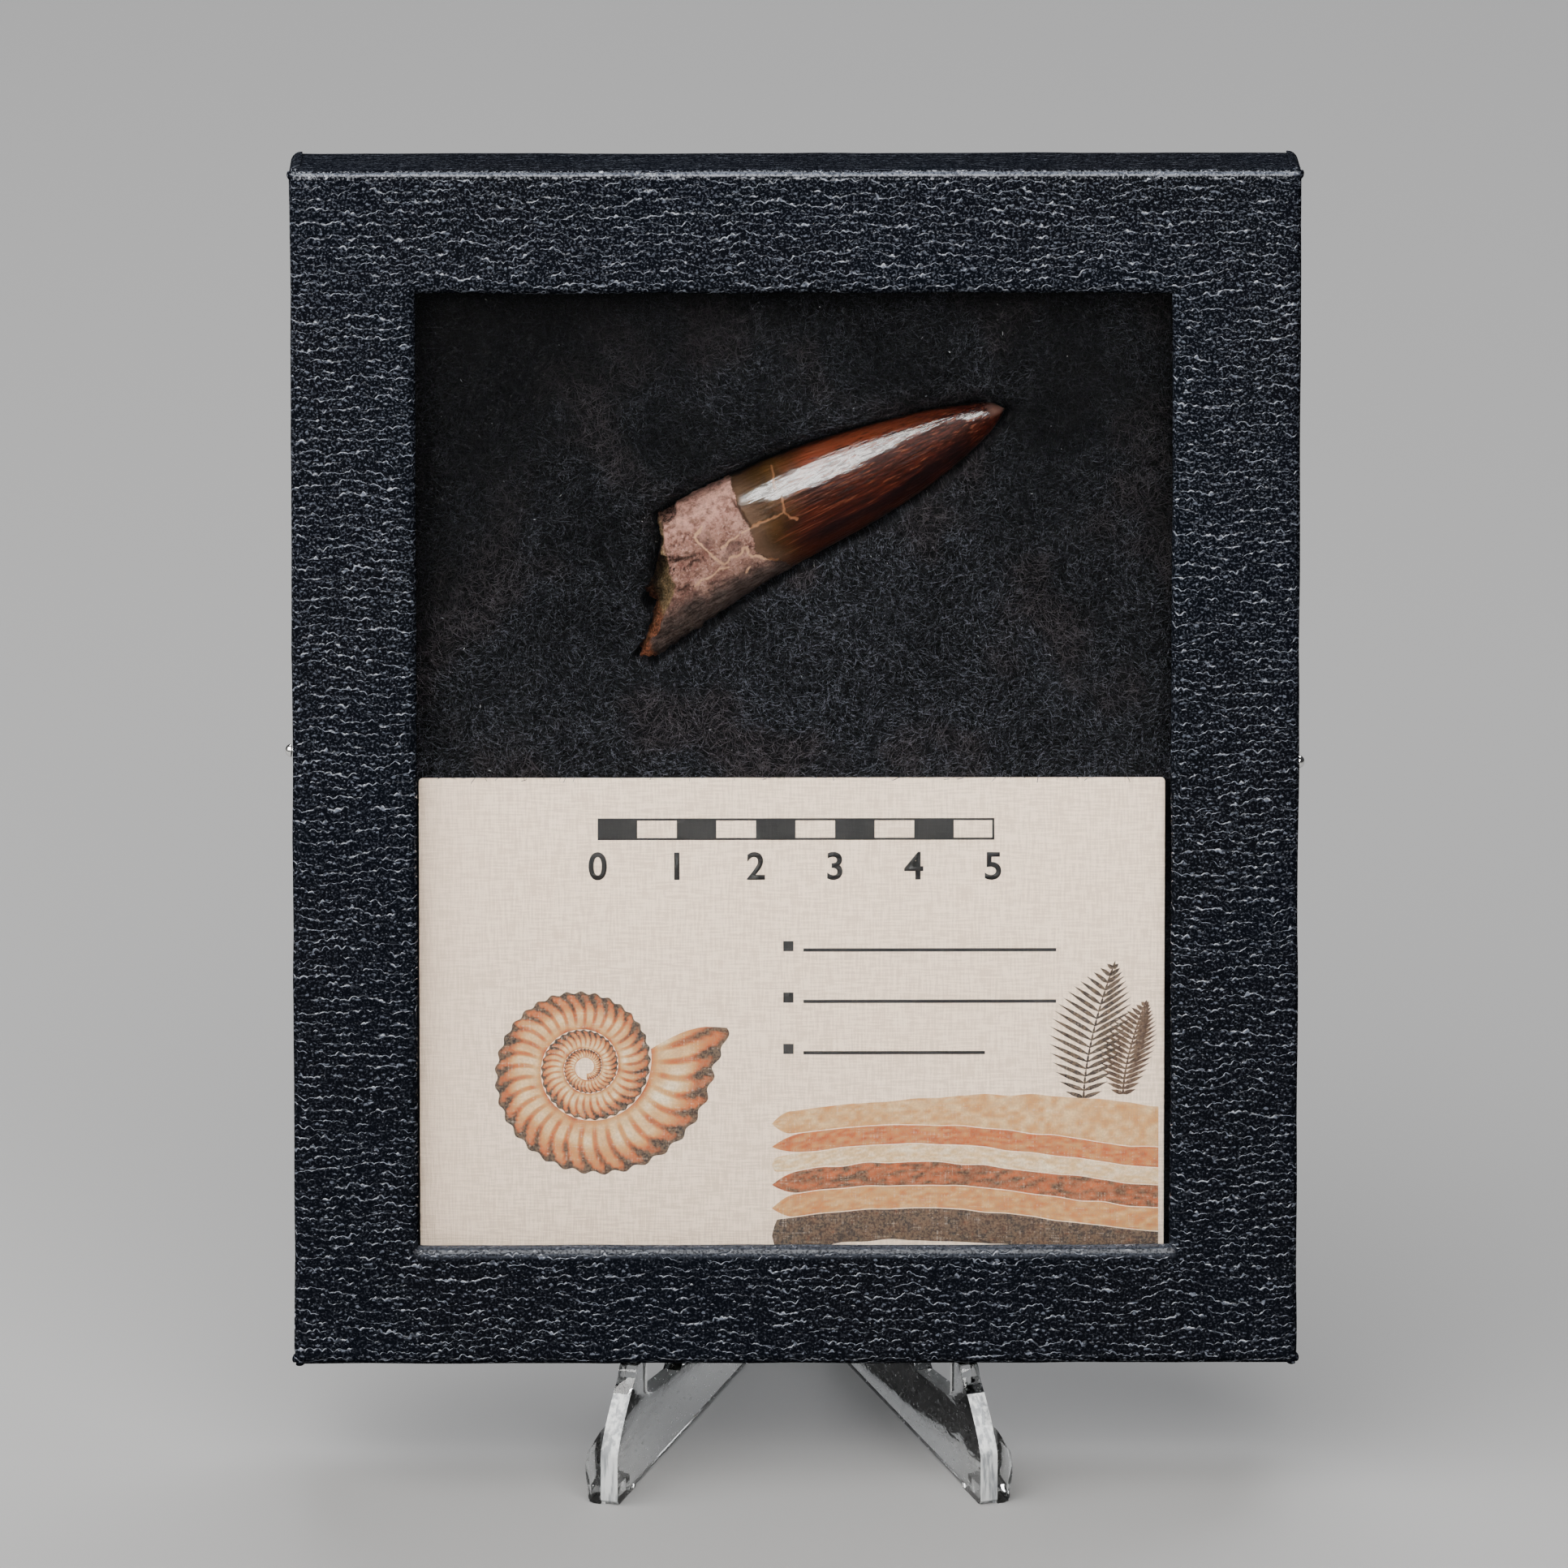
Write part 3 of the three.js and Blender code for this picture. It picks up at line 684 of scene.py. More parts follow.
def tooth_material():
    """Glossy mahogany enamel, olive at its base, on a dry, pitted, pinkish root with a sandy break."""
    material, place = new_material("fossil_tooth", tooth_millimetres)
    along, across, _ = split(place)
    mottle = grain(place, 0.35, 4.0)
    speck = grain(place, 3.2, 4.0, 0.6)
    lumps = grain(place, 1.25, 5.0, 0.62)
    fine_speck = grain(place, 7.0, 3.0, 0.6)
    streaks = grain(warped(stretched(place, 0.05, 1.5, 1.5), 2.0, 0.1), 2.0, 5.0, 0.62)
    hair = grain(warped(stretched(place, 0.035, 2.8, 2.8), 1.5, 0.05), 1.5, 2.0, 0.5)

    # Enamel: mahogany streaked lengthways, paler red on its upper side from painted light, olive at its
    # base, nearly black in a band along the lower side.
    past_line = stored(place, "past_line")
    ragged = speck * 0.9 + past_line - 0.45
    enamel = ramp(ragged, -0.10, 0.12)
    mahogany = blend(ramp(streaks, 0.34, 0.68), (0.0120, 0.0019, 0.0010), (0.054, 0.0082, 0.0030))
    upper = ramp(across, 2.0, 6.2, 0.0, 0.75)
    mahogany = blend(upper, mahogany, (0.170, 0.0360, 0.0155))
    mahogany = blend(ramp(hair, 0.44, 0.36, 0.0, 0.7), mahogany, (0.0090, 0.0016, 0.0008))
    lines = ramp(hair, 0.58, 0.68) * ramp(streaks, 0.38, 0.58, 0.15, 0.9)
    mahogany = blend(lines, mahogany, (0.150, 0.048, 0.024))
    olive = blend(ramp(mottle, 0.35, 0.65), (0.022, 0.0105, 0.0032), (0.060, 0.0285, 0.0080))
    olive = blend(ramp(streaks, 0.5, 0.7, 0.0, 0.6), olive, (0.046, 0.0170, 0.0040))
    reach = across * -0.55 + past_line
    olive_zone = ramp(mottle * 5.0 + reach, 4.0, 10.5, 1.0, 0.0)
    crown = blend(olive_zone, mahogany, olive)
    grey_base = ramp(speck * 2.0 + past_line, 4.6, 0.5, 0.0, 0.85) * ramp(across, 6.5, 0.5, 0.75, 1.0)
    crown = blend(grey_base, crown, (0.088, 0.050, 0.032))
    # Painted shade darkens a band along the lower side nearly to black.
    band = streaks * 1.6 + across + ramp(along, 28.0, 46.0, 0.0, -2.2)
    lower_painted_shade = ramp(band, -1.2, -2.3) * ramp(band, -4.2, -3.2)
    lower_painted_shade = lower_painted_shade * ramp(along, 17.0, 22.0) * ramp(along, 46.0, 41.0)
    crown = blend(lower_painted_shade * 0.85, crown, (0.0042, 0.0017, 0.0022))
    rim = ramp(across, -4.4, -3.4, 0.6, 0.0)
    crown = blend(rim, crown, (0.042, 0.0110, 0.0052))
    # A small painted highlight pales the upper side of the tip.
    tip_highlight = ramp(along, 46.3, 48.6, 0.0, 0.60) * ramp(across, -0.3, 0.5)
    crown = blend(tip_highlight, crown, (0.290, 0.150, 0.120))

    # Root: pinkish tan, greyer and darker below from grey staining and painted shade, with long stains,
    # darker pores and pale crack lines.
    root = blend(ramp(mottle, 0.34, 0.66), (0.250, 0.108, 0.082), (0.600, 0.335, 0.265))
    root = blend(ramp(lumps, 0.48, 0.36, 0.0, 0.6), root, (0.100, 0.042, 0.031))
    pit = ramp(cells(warped(place, 1.0, 0.25), 1.35), 0.26, 0.12) * ramp(mottle, 0.40, 0.58)
    root = blend(pit * 0.75, root, (0.070, 0.029, 0.021))
    long_stain = grain(stretched(place, 0.22, 0.9, 0.9), 1.2, 4.0)
    root = blend(ramp(long_stain, 0.50, 0.66, 0.0, 0.5), root, (0.120, 0.042, 0.026))
    root = blend(ramp(speck, 0.52, 0.68, 0.0, 0.7), root, (0.740, 0.460, 0.390))
    root = blend(ramp(fine_speck, 0.46, 0.34, 0.0, 0.6), root, (0.050, 0.021, 0.016))
    grey_and_shade_below = ramp(mottle * 3.0 + across, 0.2, -3.2)
    low_grain = grain(stretched(place, 0.35, 2.4, 2.4), 1.4, 3.0)
    grey = blend(ramp(low_grain, 0.35, 0.65), (0.026, 0.018, 0.016), (0.105, 0.080, 0.070))
    root = blend(grey_and_shade_below * 0.92, root, grey)
    root = blend(ramp(stored(place, "plate"), 0.25, 0.55) * 0.5, root, (0.110, 0.068, 0.060))
    root = blend(stored(place, "pore") * 0.85, root, (0.020, 0.010, 0.008))
    # Painted light pales the root's upper side.
    root_upper_painted_light = ramp(across, 1.0, 6.0, 0.0, 0.65) * ramp(lumps, 0.40, 0.60, 0.25, 1.0)
    root = blend(root_upper_painted_light, root, (0.980, 0.540, 0.440))
    tone = blend(enamel, root, crown)

    # Cracks filled with pale orange dust, open fissures, and the dark crust in the break's upper corner.
    pale_crack = stored(place, "crack")
    dust = blend(enamel, (0.780, 0.470, 0.290), (0.400, 0.185, 0.090))
    filled = ramp(pale_crack, 0.05, 0.5, 0.0, 0.90) * (enamel * -0.55 + 1.0)
    tone = blend(filled, tone, dust)
    tone = blend(stored(place, "fissure") * 0.8, tone, (0.042, 0.019, 0.013))
    crust = blend(ramp(speck, 0.4, 0.62), (0.060, 0.030, 0.024), (0.290, 0.150, 0.118))
    tone = blend(stored(place, "crust"), tone, crust)

    # The broken end: olive-tan sandy matrix, rusty at the lump and the lower point.
    broken = stored(place, "broken")
    matrix = blend(ramp(speck, 0.35, 0.65), (0.110, 0.068, 0.030), (0.360, 0.235, 0.115))
    matrix = blend(ramp(fine_speck, 0.55, 0.68, 0.0, 0.7), matrix, (0.550, 0.420, 0.260))
    tone = blend(broken, tone, matrix)
    rusty = blend(ramp(speck, 0.38, 0.64), (0.120, 0.035, 0.017), (0.420, 0.150, 0.070))
    tone = blend(stored(place, "rust"), tone, rusty)

    # Finish: polished enamel wrinkled lengthways, dry root.
    silk = grain(stretched(place, 0.55, 4.0, 4.0), 1.0, 3.0)
    wrinkle = grain(warped(stretched(place, 1.3, 2.4, 2.4), 1.0, 0.3), 1.0, 3.0)
    polish = silk * 0.07 + 0.05
    # A band along the tooth, narrower towards its base and its tip, is polished; the rest is satin.
    lower_limit = ramp(along, 14.5, 20.0, 4.5, 3.0) + ramp(along, 20.0, 26.0, 0.0, -0.5)
    lower_limit = lower_limit + ramp(along, 40.0, 49.0, 0.0, -2.4)
    upper_limit = ramp(along, 26.0, 49.0, 5.4, 2.0)
    frayed = silk * 1.6 - 0.8
    above = ramp(across + frayed - lower_limit, -0.25, 0.30)
    below = ramp(upper_limit - across - frayed, -0.25, 0.30)
    burnished = above * below * ramp(past_line, 0.2, 2.2)
    creases = ramp(grain(warped(stretched(place, 0.40, 2.8, 2.8), 1.0, 0.3), 1.2, 3.0), 0.40, 0.52)
    burnished = burnished * (creases * 0.5 + 0.5)
    burnished = burnished * ramp(along, 20.0, 36.0, 1.0, 0.78) * ramp(along, 48.2, 46.8)
    polish = mix(burnished, 0.34, polish)
    sound = clamped(enamel * (1.0 - broken))
    shine = clamped(sound * (pale_crack * -0.5 + 1.0))
    rough = mix(shine, 0.58, polish)
    dry = 1.0 - sound
    relief = None
    for field, height in ((lumps, 1.60), (speck, 0.60), (fine_speck, 0.10)):
        relief = bump(dry * (field - 0.5), height, 1.0, relief)
    relief = bump(silk * shine, 0.060, 0.9, relief)
    relief = bump(wrinkle * shine, 0.070, 0.9, relief)
    return finished(material, {
        "Base Color": tone,
        "Roughness": rough,
        "Normal": relief,
        "Coat Normal": relief,
        "Coat Weight": clamped(burnished * shine),
        "Coat Roughness": 0.07,
        "Coat IOR": 2.1,
        "Specular IOR Level": 0.08,
    })


def lint_material():
    """Pale stray fibres and specks."""
    material, place = new_material("lint_pale", case_millimetres)
    return finished(material, {
        "Base Color": blend(ramp(grain(place, 1.5, 2.0), 0.4, 0.6), (0.30, 0.32, 0.34), (0.62, 0.63, 0.62)),
        "Roughness": 0.7,
    })


def floor_material(colour):
    """Seamless paper with a faint haze."""
    material, place = new_material("studio_floor", object_place)
    haze = grain(place, 3.0, 2.0)
    return finished(material, {
        "Base Color": blend(haze, colour, tuple(0.96 * part for part in colour)),
        "Roughness": 0.75,
    })


# ---------- lid ----------

LID_EDGE_R = 1.15
WINDOW_EDGE_R = 1.1
# The folded paper ends reach round the walls by a lap along the height and a turn across the width.
FOLD_LAP = 11.0
FOLD_TURN = 1.3
FOLD_SLOPE = 0.62
EAR_IN = 0.55


def model_lid(name):
    """A shallow box with a window: its board is inset, cut through, given thickness and rounded."""
    piece = block(name, (CASE_W, CASE_H, CASE_D), (0, 0, -CASE_D / 2))
    drop_faces(piece, lambda f: f.normal.z < -0.9)
    # Round the four front edges and the four corners.
    round_edges(piece, lambda e: edge_middle(e).z > -CASE_D + 0.1, LID_EDGE_R, 5, clamp=True)
    # The window is an inset of the face, moved to its place and cut through.
    border = (CASE_H - WINDOW_H) / 2 - LID_EDGE_R
    inset_w = CASE_W - 2 * LID_EDGE_R - 2 * border
    select_parts(piece, faces=lambda f: f.normal.z > 0.99 and f.calc_area() > 1000)
    bpy.ops.mesh.inset(thickness=border, depth=0.0)
    bpy.ops.transform.resize(value=(WINDOW_W / inset_w, 1.0, 1.0))
    bpy.ops.transform.translate(value=(WINDOW_X, WINDOW_UP, 0.0))
    bpy.ops.mesh.delete(type="FACE")
    leave_edit()
    apply_modifier(piece, "SOLIDIFY", thickness=LID_WALL, offset=-1.0, use_even_offset=True)

    def window_rim(edge):
        middle = edge_middle(edge)
        inside = abs(middle.x) < WINDOW_W / 2 + 0.6 and abs(middle.y) < WINDOW_H / 2 + 0.6
        return rise_of(edge) < 0.01 and middle.z > -0.1 and inside

    def back_rim(edge):
        middle = edge_middle(edge)
        return middle.z < -CASE_D + 0.01 and max(abs(middle.x) - HALF_W, abs(middle.y) - HALF_H) > -0.3

    round_edges(piece, window_rim, WINDOW_EDGE_R, 5)
    round_edges(piece, back_rim, 0.5, 3)
    return piece


def slice_evenly(piece, step, reach_x, reach_y):
    """Cuts a mesh into a lattice, so that it can take small waves."""
    for axis, reach, start in (
            (Vector((1, 0, 0)), reach_x, 0.0), (Vector((0, 1, 0)), reach_y, 0.0),
            (Vector((0, 0, 1)), CASE_D / 2, -CASE_D / 2)):
        count = int(reach / step)
        for index in range(-count, count + 1):
            bisect(piece, axis * (start + index * step), axis)


def hand_made_waves(piece, amount, size, seed):
    """Moves the surface a little, as glued paper over board lies."""
    points = points_of(piece)
    x, y, z = points.T
    shift = grid_noise(x + 0.7 * z, y - 0.4 * z, size, seed)
    shift = shift + 0.5 * grid_noise(x - z, y + z, size / 2, seed + 1)
    normals = np.empty(len(points) * 3, dtype=np.float32)
    piece.data.vertices.foreach_get("normal", normals)
    move_points(piece, points + normals.reshape(-1, 3) * (amount * shift)[:, None])


def corner_wraps(name):
    """The folded ends of the covering paper, lapped round the four corners of the side walls."""
    piece = block(name, (CASE_W, CASE_H, CASE_D), (0, 0, -CASE_D / 2))
    drop_faces(piece, lambda f: abs(f.normal.z) > 0.9)
    round_edges(piece, lambda e: rise_of(e) > 1.0, LID_EDGE_R, 5)
    # Lattice lines across each lap, then the fold's slanted front end.
    lap_start = HALF_H - FOLD_LAP
    for sx, sy in CORNERS:
        bisect(piece, (sx * (HALF_W - FOLD_TURN), 0, 0), (1, 0, 0))
        bisect(piece, (0, sy * lap_start, 0), (0, 1, 0))
    for index in range(1, 8):
        bisect(piece, (0, 0, -CASE_D * index / 8), (0, 0, 1))
    for sy in (-1, 1):
        bisect(piece, (0, sy * (HALF_H - FOLD_LAP / 2), 0), (0, 1, 0))
        bisect(piece, (0, sy * lap_start, -CASE_D * FOLD_SLOPE), (0, -sy * FOLD_SLOPE, 1.0))

    def not_wrap(face):
        middle = face.calc_center_median()
        if abs(middle.y) < lap_start or abs(middle.x) < HALF_W - FOLD_TURN:
            return True
        return middle.z > -1.0 or middle.z > FOLD_SLOPE * (abs(middle.y) - lap_start - CASE_D)

    drop_faces(piece, not_wrap)
    apply_modifier(piece, "SOLIDIFY", thickness=0.2, offset=1.0, use_even_offset=True)
    bevel_corners(piece, 0.08, 2, 50)
    return piece


def corner_ears(name):
    """The pinched folds of paper that stand out at the four front corners."""
    ears = []
    for index, (sx, sy) in enumerate(CORNERS):
        clear_selection()
        bpy.ops.mesh.primitive_ico_sphere_add(subdivisions=4, radius=1.0)
        ear = added(f"{name}_{index}")
        x, y, z = points_of(ear).T
        crease = 1.0 - 0.35 * np.exp(-((x * sx - y * sy) / 0.22) ** 2)
        pinch = 1.0 + 0.16 * np.sin(9.0 * z + index) * (1 - np.abs(z))
        width = 0.80 * crease * pinch
        move_points(ear, np.stack([
            sx * (HALF_W - EAR_IN) + x * width, sy * (HALF_H - EAR_IN) + y * width,
            -1.35 + z * (1.6 - 0.3 * z) * 0.75], axis=1))
        ears.append(ear)
    return join(ears, name)


class FOSSIL_OT_lid(bpy.types.Operator):
    """Builds the covered lid with its window and folded corners"""

    bl_idname = "fossil.lid"
    bl_label = "Build Lid"

    def execute(self, context):
        sizes = context.scene.fossil_display
        leatherette = leatherette_material(tuple(sizes.leatherette))
        lid = model_lid("lid_cover")
        slice_evenly(lid, 3.0, HALF_W, HALF_H)
        outward(lid)
        hand_made_waves(lid, sizes.paper_wave / MM, 9.0, 11)
        smooth(lid, 50)
        settle(lid, leatherette, ("lid",))
        wraps = corner_wraps("corner_wraps")
        smooth(wraps, 50)
        settle(wraps, leatherette)
        ears = corner_ears("corner_ears")
        smooth(ears, 60)
        settle(ears, leatherette)
        return {"FINISHED"}


# ---------- tray and pane ----------

TRAY_T = 1.4
TRAY_EDGE_R = 0.7
# The back panel sinks a little inside a flat border, over a narrow slope.
PANEL_BORDER, PANEL_SLOPE, PANEL_SINK = 6.0, 2.0, 0.12


class FOSSIL_OT_tray(bpy.types.Operator):
    """Builds the tray that closes the case from behind"""

    bl_idname = "fossil.tray"
    bl_label = "Build Tray"

    def execute(self, context):
        rim = GLASS_BACK - GAP
        depth = rim - TRAY_BACK
        tray = block("tray_box", (TRAY_W, TRAY_H, depth), (0, 0, TRAY_BACK + depth / 2))
        drop_faces(tray, lambda f: f.normal.z > 0.9)
        round_edges(tray, lambda e: edge_middle(e).z < rim - 0.1, TRAY_EDGE_R, 4)
        # A thumb-worn, slightly dished back panel.
        select_parts(tray, faces=lambda f: f.normal.z < -0.99)
        bpy.ops.mesh.inset(thickness=PANEL_BORDER, depth=0.0)
        bpy.ops.mesh.inset(thickness=PANEL_SLOPE, depth=-PANEL_SINK)
        leave_edit()
        apply_modifier(tray, "SOLIDIFY", thickness=TRAY_T, offset=-1.0, use_even_offset=True)
        slice_evenly(tray, 8.0, TRAY_W / 2, TRAY_H / 2)
        outward(tray)
        hand_made_waves(tray, 0.10, 14.0, 31)
        smooth(tray, 40)
        settle(tray, tray_material(), ("tray",))
        return {"FINISHED"}


class FOSSIL_OT_pane(bpy.types.Operator):
    """Finishes the glass pane"""

    bl_idname = "fossil.pane"
    bl_label = "Finish Pane"

    def execute(self, context):
        paint(node_object("glass"), glass_material())
        return {"FINISHED"}


# ---------- tooth ----------

# Tooth stations: distance from the root reference, upper edge, lower edge.
TOOTH_STATIONS = (
    (-7.0, 5.6, -8.5),
    (0.0, 7.05, -7.75),
    (6.0, 7.9, -6.95),
    (14.0, 8.0, -6.05),
    (22.0, 7.55, -5.65),
    (30.0, 6.35, -5.2),
    (38.0, 4.8, -4.0),
    (44.0, 3.15, -2.45),
    (47.6, 1.75, -1.0),
    (49.1, 0.1, 0.1),
)


def edge_tables():
    """The tooth's upper and lower edges as dense tables, from a smooth curve through the stations."""
    stations = np.array(TOOTH_STATIONS)
    padded = np.vstack([2 * stations[0] - stations[1], stations, 2 * stations[-1] - stations[-2]])
    rows = []
    for index in range(1, len(padded) - 2):
        p0, p1, p2, p3 = padded[index - 1:index + 3]
        for t in np.linspace(0, 1, 40, endpoint=False):
            rows.append(0.5 * (2 * p1 + (p2 - p0) * t + (2 * p0 - 5 * p1 + 4 * p2 - p3) * t ** 2
                               + (3 * p1 - p0 - 3 * p2 + p3) * t ** 3))
    rows.append(stations[-1])
    table = np.array(rows)
    return table[np.argsort(table[:, 0])]


TOOTH_EDGES = edge_tables()
# Millimetres round the tooth for each radian of its turn.
TOOTH_GIRTH = 7.0
# The break's rim spans this far across the tooth: its middle and its half width.
RIM_MIDDLE, RIM_REACH = -0.3, 7.9
# The shares of the sphere's turns that make the front, and of its latitudes that make the side.
FRONT_SHARE = 0.62
SIDE_SHARE = 0.86

# Places on the tooth as (along, across), seen from the front.
FRONT_RIM = (
    (4.1, 8.0), (4.2, 6.2), (3.7, 5.4), (3.0, 4.3), (3.0, 3.0), (2.7, 1.8), (2.3, 0.8), (2.3, -0.1),
    (2.1, -1.3), (1.8, -1.8), (0.8, -2.7), (-0.6, -3.7), (-1.9, -4.6), (-3.3, -5.6), (-5.0, -6.2),
    (-6.1, -6.9), (-4.7, -7.6),
)
REAR_RIM = (
    (4.1, 8.0), (3.6, 7.0), (3.7, 6.2), (2.8, 4.4), (2.2, 3.7), (1.7, 2.9), (1.2, 2.5), (0.3, 1.0),
    (-0.3, 0.2), (-1.5, 0.0), (-2.1, -1.1), (-2.1, -2.3), (-1.6, -2.8), (-1.8, -3.4), (-2.3, -3.9),
    (-3.1, -4.6), (-3.8, -5.5), (-5.1, -5.9), (-6.1, -6.5), (-6.1, -6.9), (-4.7, -7.6),
)
ENAMEL_LINE = (
    (14.3, 8.5), (13.8, 6.2), (13.5, 4.7), (13.8, 2.0), (13.6, 0.1), (12.9, -1.4), (13.5, -2.6),
    (14.6, -3.7), (15.7, -4.8), (16.4, -6.5),
)
PALE_CRACKS = (
    ((8.3, 4.4), (7.2, 3.9), (7.0, 3.7), (7.3, 2.5), (8.0, 0.4), (8.7, -1.2), (9.6, -1.1), (10.0, -0.8),
     (10.6, -1.1), (11.5, -0.9), (11.8, -0.4), (12.3, -0.5), (12.2, -1.5), (12.8, -2.0), (13.5, -2.9),
     (15.0, -3.7)),
    ((9.5, 0.9), (10.4, 1.0), (11.7, 1.2), (12.1, 1.4)),
    ((12.6, 1.4), (14.0, 1.5), (15.7, 1.4), (18.3, 1.3)),
    ((19.1, 3.2), (18.7, 2.2), (18.5, 1.4), (18.9, 0.4), (19.5, -0.1)),
    ((4.4, -2.0), (5.5, -1.8), (6.5, -1.9), (8.0, -1.5), (9.2, -1.8)),
    ((11.4, -2.9), (10.8, -3.6)),
    ((19.6, 6.9), (19.2, 5.6), (18.9, 4.6)),
)
FISSURES = (
    ((13.6, 5.7), (13.3, 4.8), (13.7, 3.8), (13.8, 2.2), (14.0, 1.6)),
    ((3.0, 2.2), (3.7, 2.0), (4.4, 1.8), (5.9, 1.6)),
    ((2.0, -1.7), (2.7, -1.8), (3.6, -1.6)),
    ((5.0, 0.5), (5.6, 0.9), (6.3, 0.7)),
)
FISSURE_WIDTHS = (0.11, 0.30, 0.22, 0.16)
# Each plate is (along, across, half its length, half its width).
PLATES = ((11.0, 0.15, 1.15, 0.75), (9.55, -0.55, 0.85, 0.55), (8.0, 2.7, 1.1, 1.3))


def edges_at(along):
    """The tooth's upper and lower edge at places along it."""
    return [np.interp(along, TOOTH_EDGES[:, 0], TOOTH_EDGES[:, side]) for side in (1, 2)]


def rim_share(across):
    """A place across the tooth, as a share from its lower (-1) to its upper (1) edge at the break."""
    return (across - RIM_MIDDLE) / RIM_REACH


def rim_at(rim, share):
    """How far along the tooth a rim lies, for a share across it."""
    table = sorted((rim_share(across), along) for along, across in rim)
    return np.interp(share, [row[0] for row in table], [row[1] for row in table])


def break_at(angle):
    """Where the surface starts on the broken end, for an angle round the axis."""
    share = np.cos(angle)
    front, rear = rim_at(FRONT_RIM, share), rim_at(REAR_RIM, share)
    turn = smoothstep(-0.25, 0.35, np.sin(angle))
    ragged = 0.16 * np.sin(9 * angle) + 0.30 * grid_noise(6 * share, 3 * turn, 0.8, 71)
    return rear + (front - rear) * turn + ragged


def line_distance(s, t, line):
    """Distance from places to a bent line."""
    best = np.full(np.shape(s), 1e9)
    for (s0, t0), (s1, t1) in zip(line[:-1], line[1:]):
        ds, dt = s1 - s0, t1 - t0
        along = np.clip(((s - s0) * ds + (t - t0) * dt) / (ds * ds + dt * dt), 0, 1)
        best = np.minimum(best, np.hypot(s - s0 - along * ds, t - t0 - along * dt))
    return best


def marks_along(s, t, lines, widths):
    """1 on any of the bent lines, fading out over each line's width."""
    each = [np.exp(-(line_distance(s, t, line) / width) ** 2) for line, width in zip(lines, widths)]
    return np.max(each, axis=0)


def pit_field(s, arc, size, seed, share):
    """Round pits: 1 in the middle of a pit and 0 outside, in a share of the cells of a jittered lattice."""
    source = np.random.default_rng(seed)
    jitter = source.random((64, 64, 2)) * 0.7 + 0.15
    kept = source.random((64, 64)) < share
    radius = 0.18 + 0.24 * source.random((64, 64))
    u, v = s / size + 32, arc / size + 32
    depth = np.zeros(np.shape(s))
    for di in (-1, 0, 1):
        for dj in (-1, 0, 1):
            i, j = np.floor(u).astype(int) + di, np.floor(v).astype(int) + dj
            a, b = i % 64, j % 64
            off = np.hypot(u - i - jitter[a, b, 0], v - j - jitter[a, b, 1])
            depth = np.maximum(depth, kept[a, b] * np.clip(1 - off / radius[a, b], 0, 1))
    return smoothstep(0.0, 0.7, depth)


def tooth_marks(s, t, angle):
    """Masks of the tooth's marks at places on its side."""
    front = smoothstep(-0.1, 0.25, np.sin(angle))
    arc = TOOTH_GIRTH * angle
    ws = noise_on(s, s, t, (0.35, 0.9, 81), (0.2, 0.4, 82))
    wt = noise_on(t, s, t, (0.35, 0.9, 83), (0.2, 0.4, 84))
    crack = marks_along(ws, wt, PALE_CRACKS, (0.135,) * len(PALE_CRACKS))
    crack = crack * (0.55 + 0.45 * smoothstep(-0.15, 0.15, grid_noise(s, t, 0.7, 85))) * front
    fissure = marks_along(ws, wt, FISSURES, FISSURE_WIDTHS) * front
    plate = np.zeros(np.shape(s))
    for ps, pt, rs, rt in PLATES:
        plate = np.maximum(plate, smoothstep(1.1, 0.75, np.hypot((ws - ps) / rs, (wt - pt) / rt)))
    line_s, line_t = zip(*reversed(ENAMEL_LINE))
    border = np.interp(t, line_t, line_s) + 0.5 * grid_noise(s, arc, 1.1, 86)
    porous = smoothstep(8.6, 4.5, s) * smoothstep(-0.5, 1.5, t) * front + 0.5 * smoothstep(4.0, 1.5, s)
    pores = np.maximum(pit_field(s, arc, 0.55, 87, 0.55), pit_field(s, arc, 0.36, 88, 0.4))
    pores = pores * np.clip(porous, 0, 1)
    from_crust = np.hypot((s - 4.9) / 1.9, (t - 7.6) / 1.3 + 0.2 * grid_noise(s, t, 0.8, 89))
    crust = smoothstep(1.0, 0.6, from_crust) * smoothstep(6.9, 6.3, s)
    rust = smoothstep(-3.6, -4.8, s + 0.6 * grid_noise(s, arc, 0.8, 90)) * smoothstep(-4.5, -5.5, t)
    return {
        "past_line": s - border, "crack": crack, "fissure": fissure, "plate": plate * front, "pore": pores,
        "crust": crust, "rust": rust,
    }


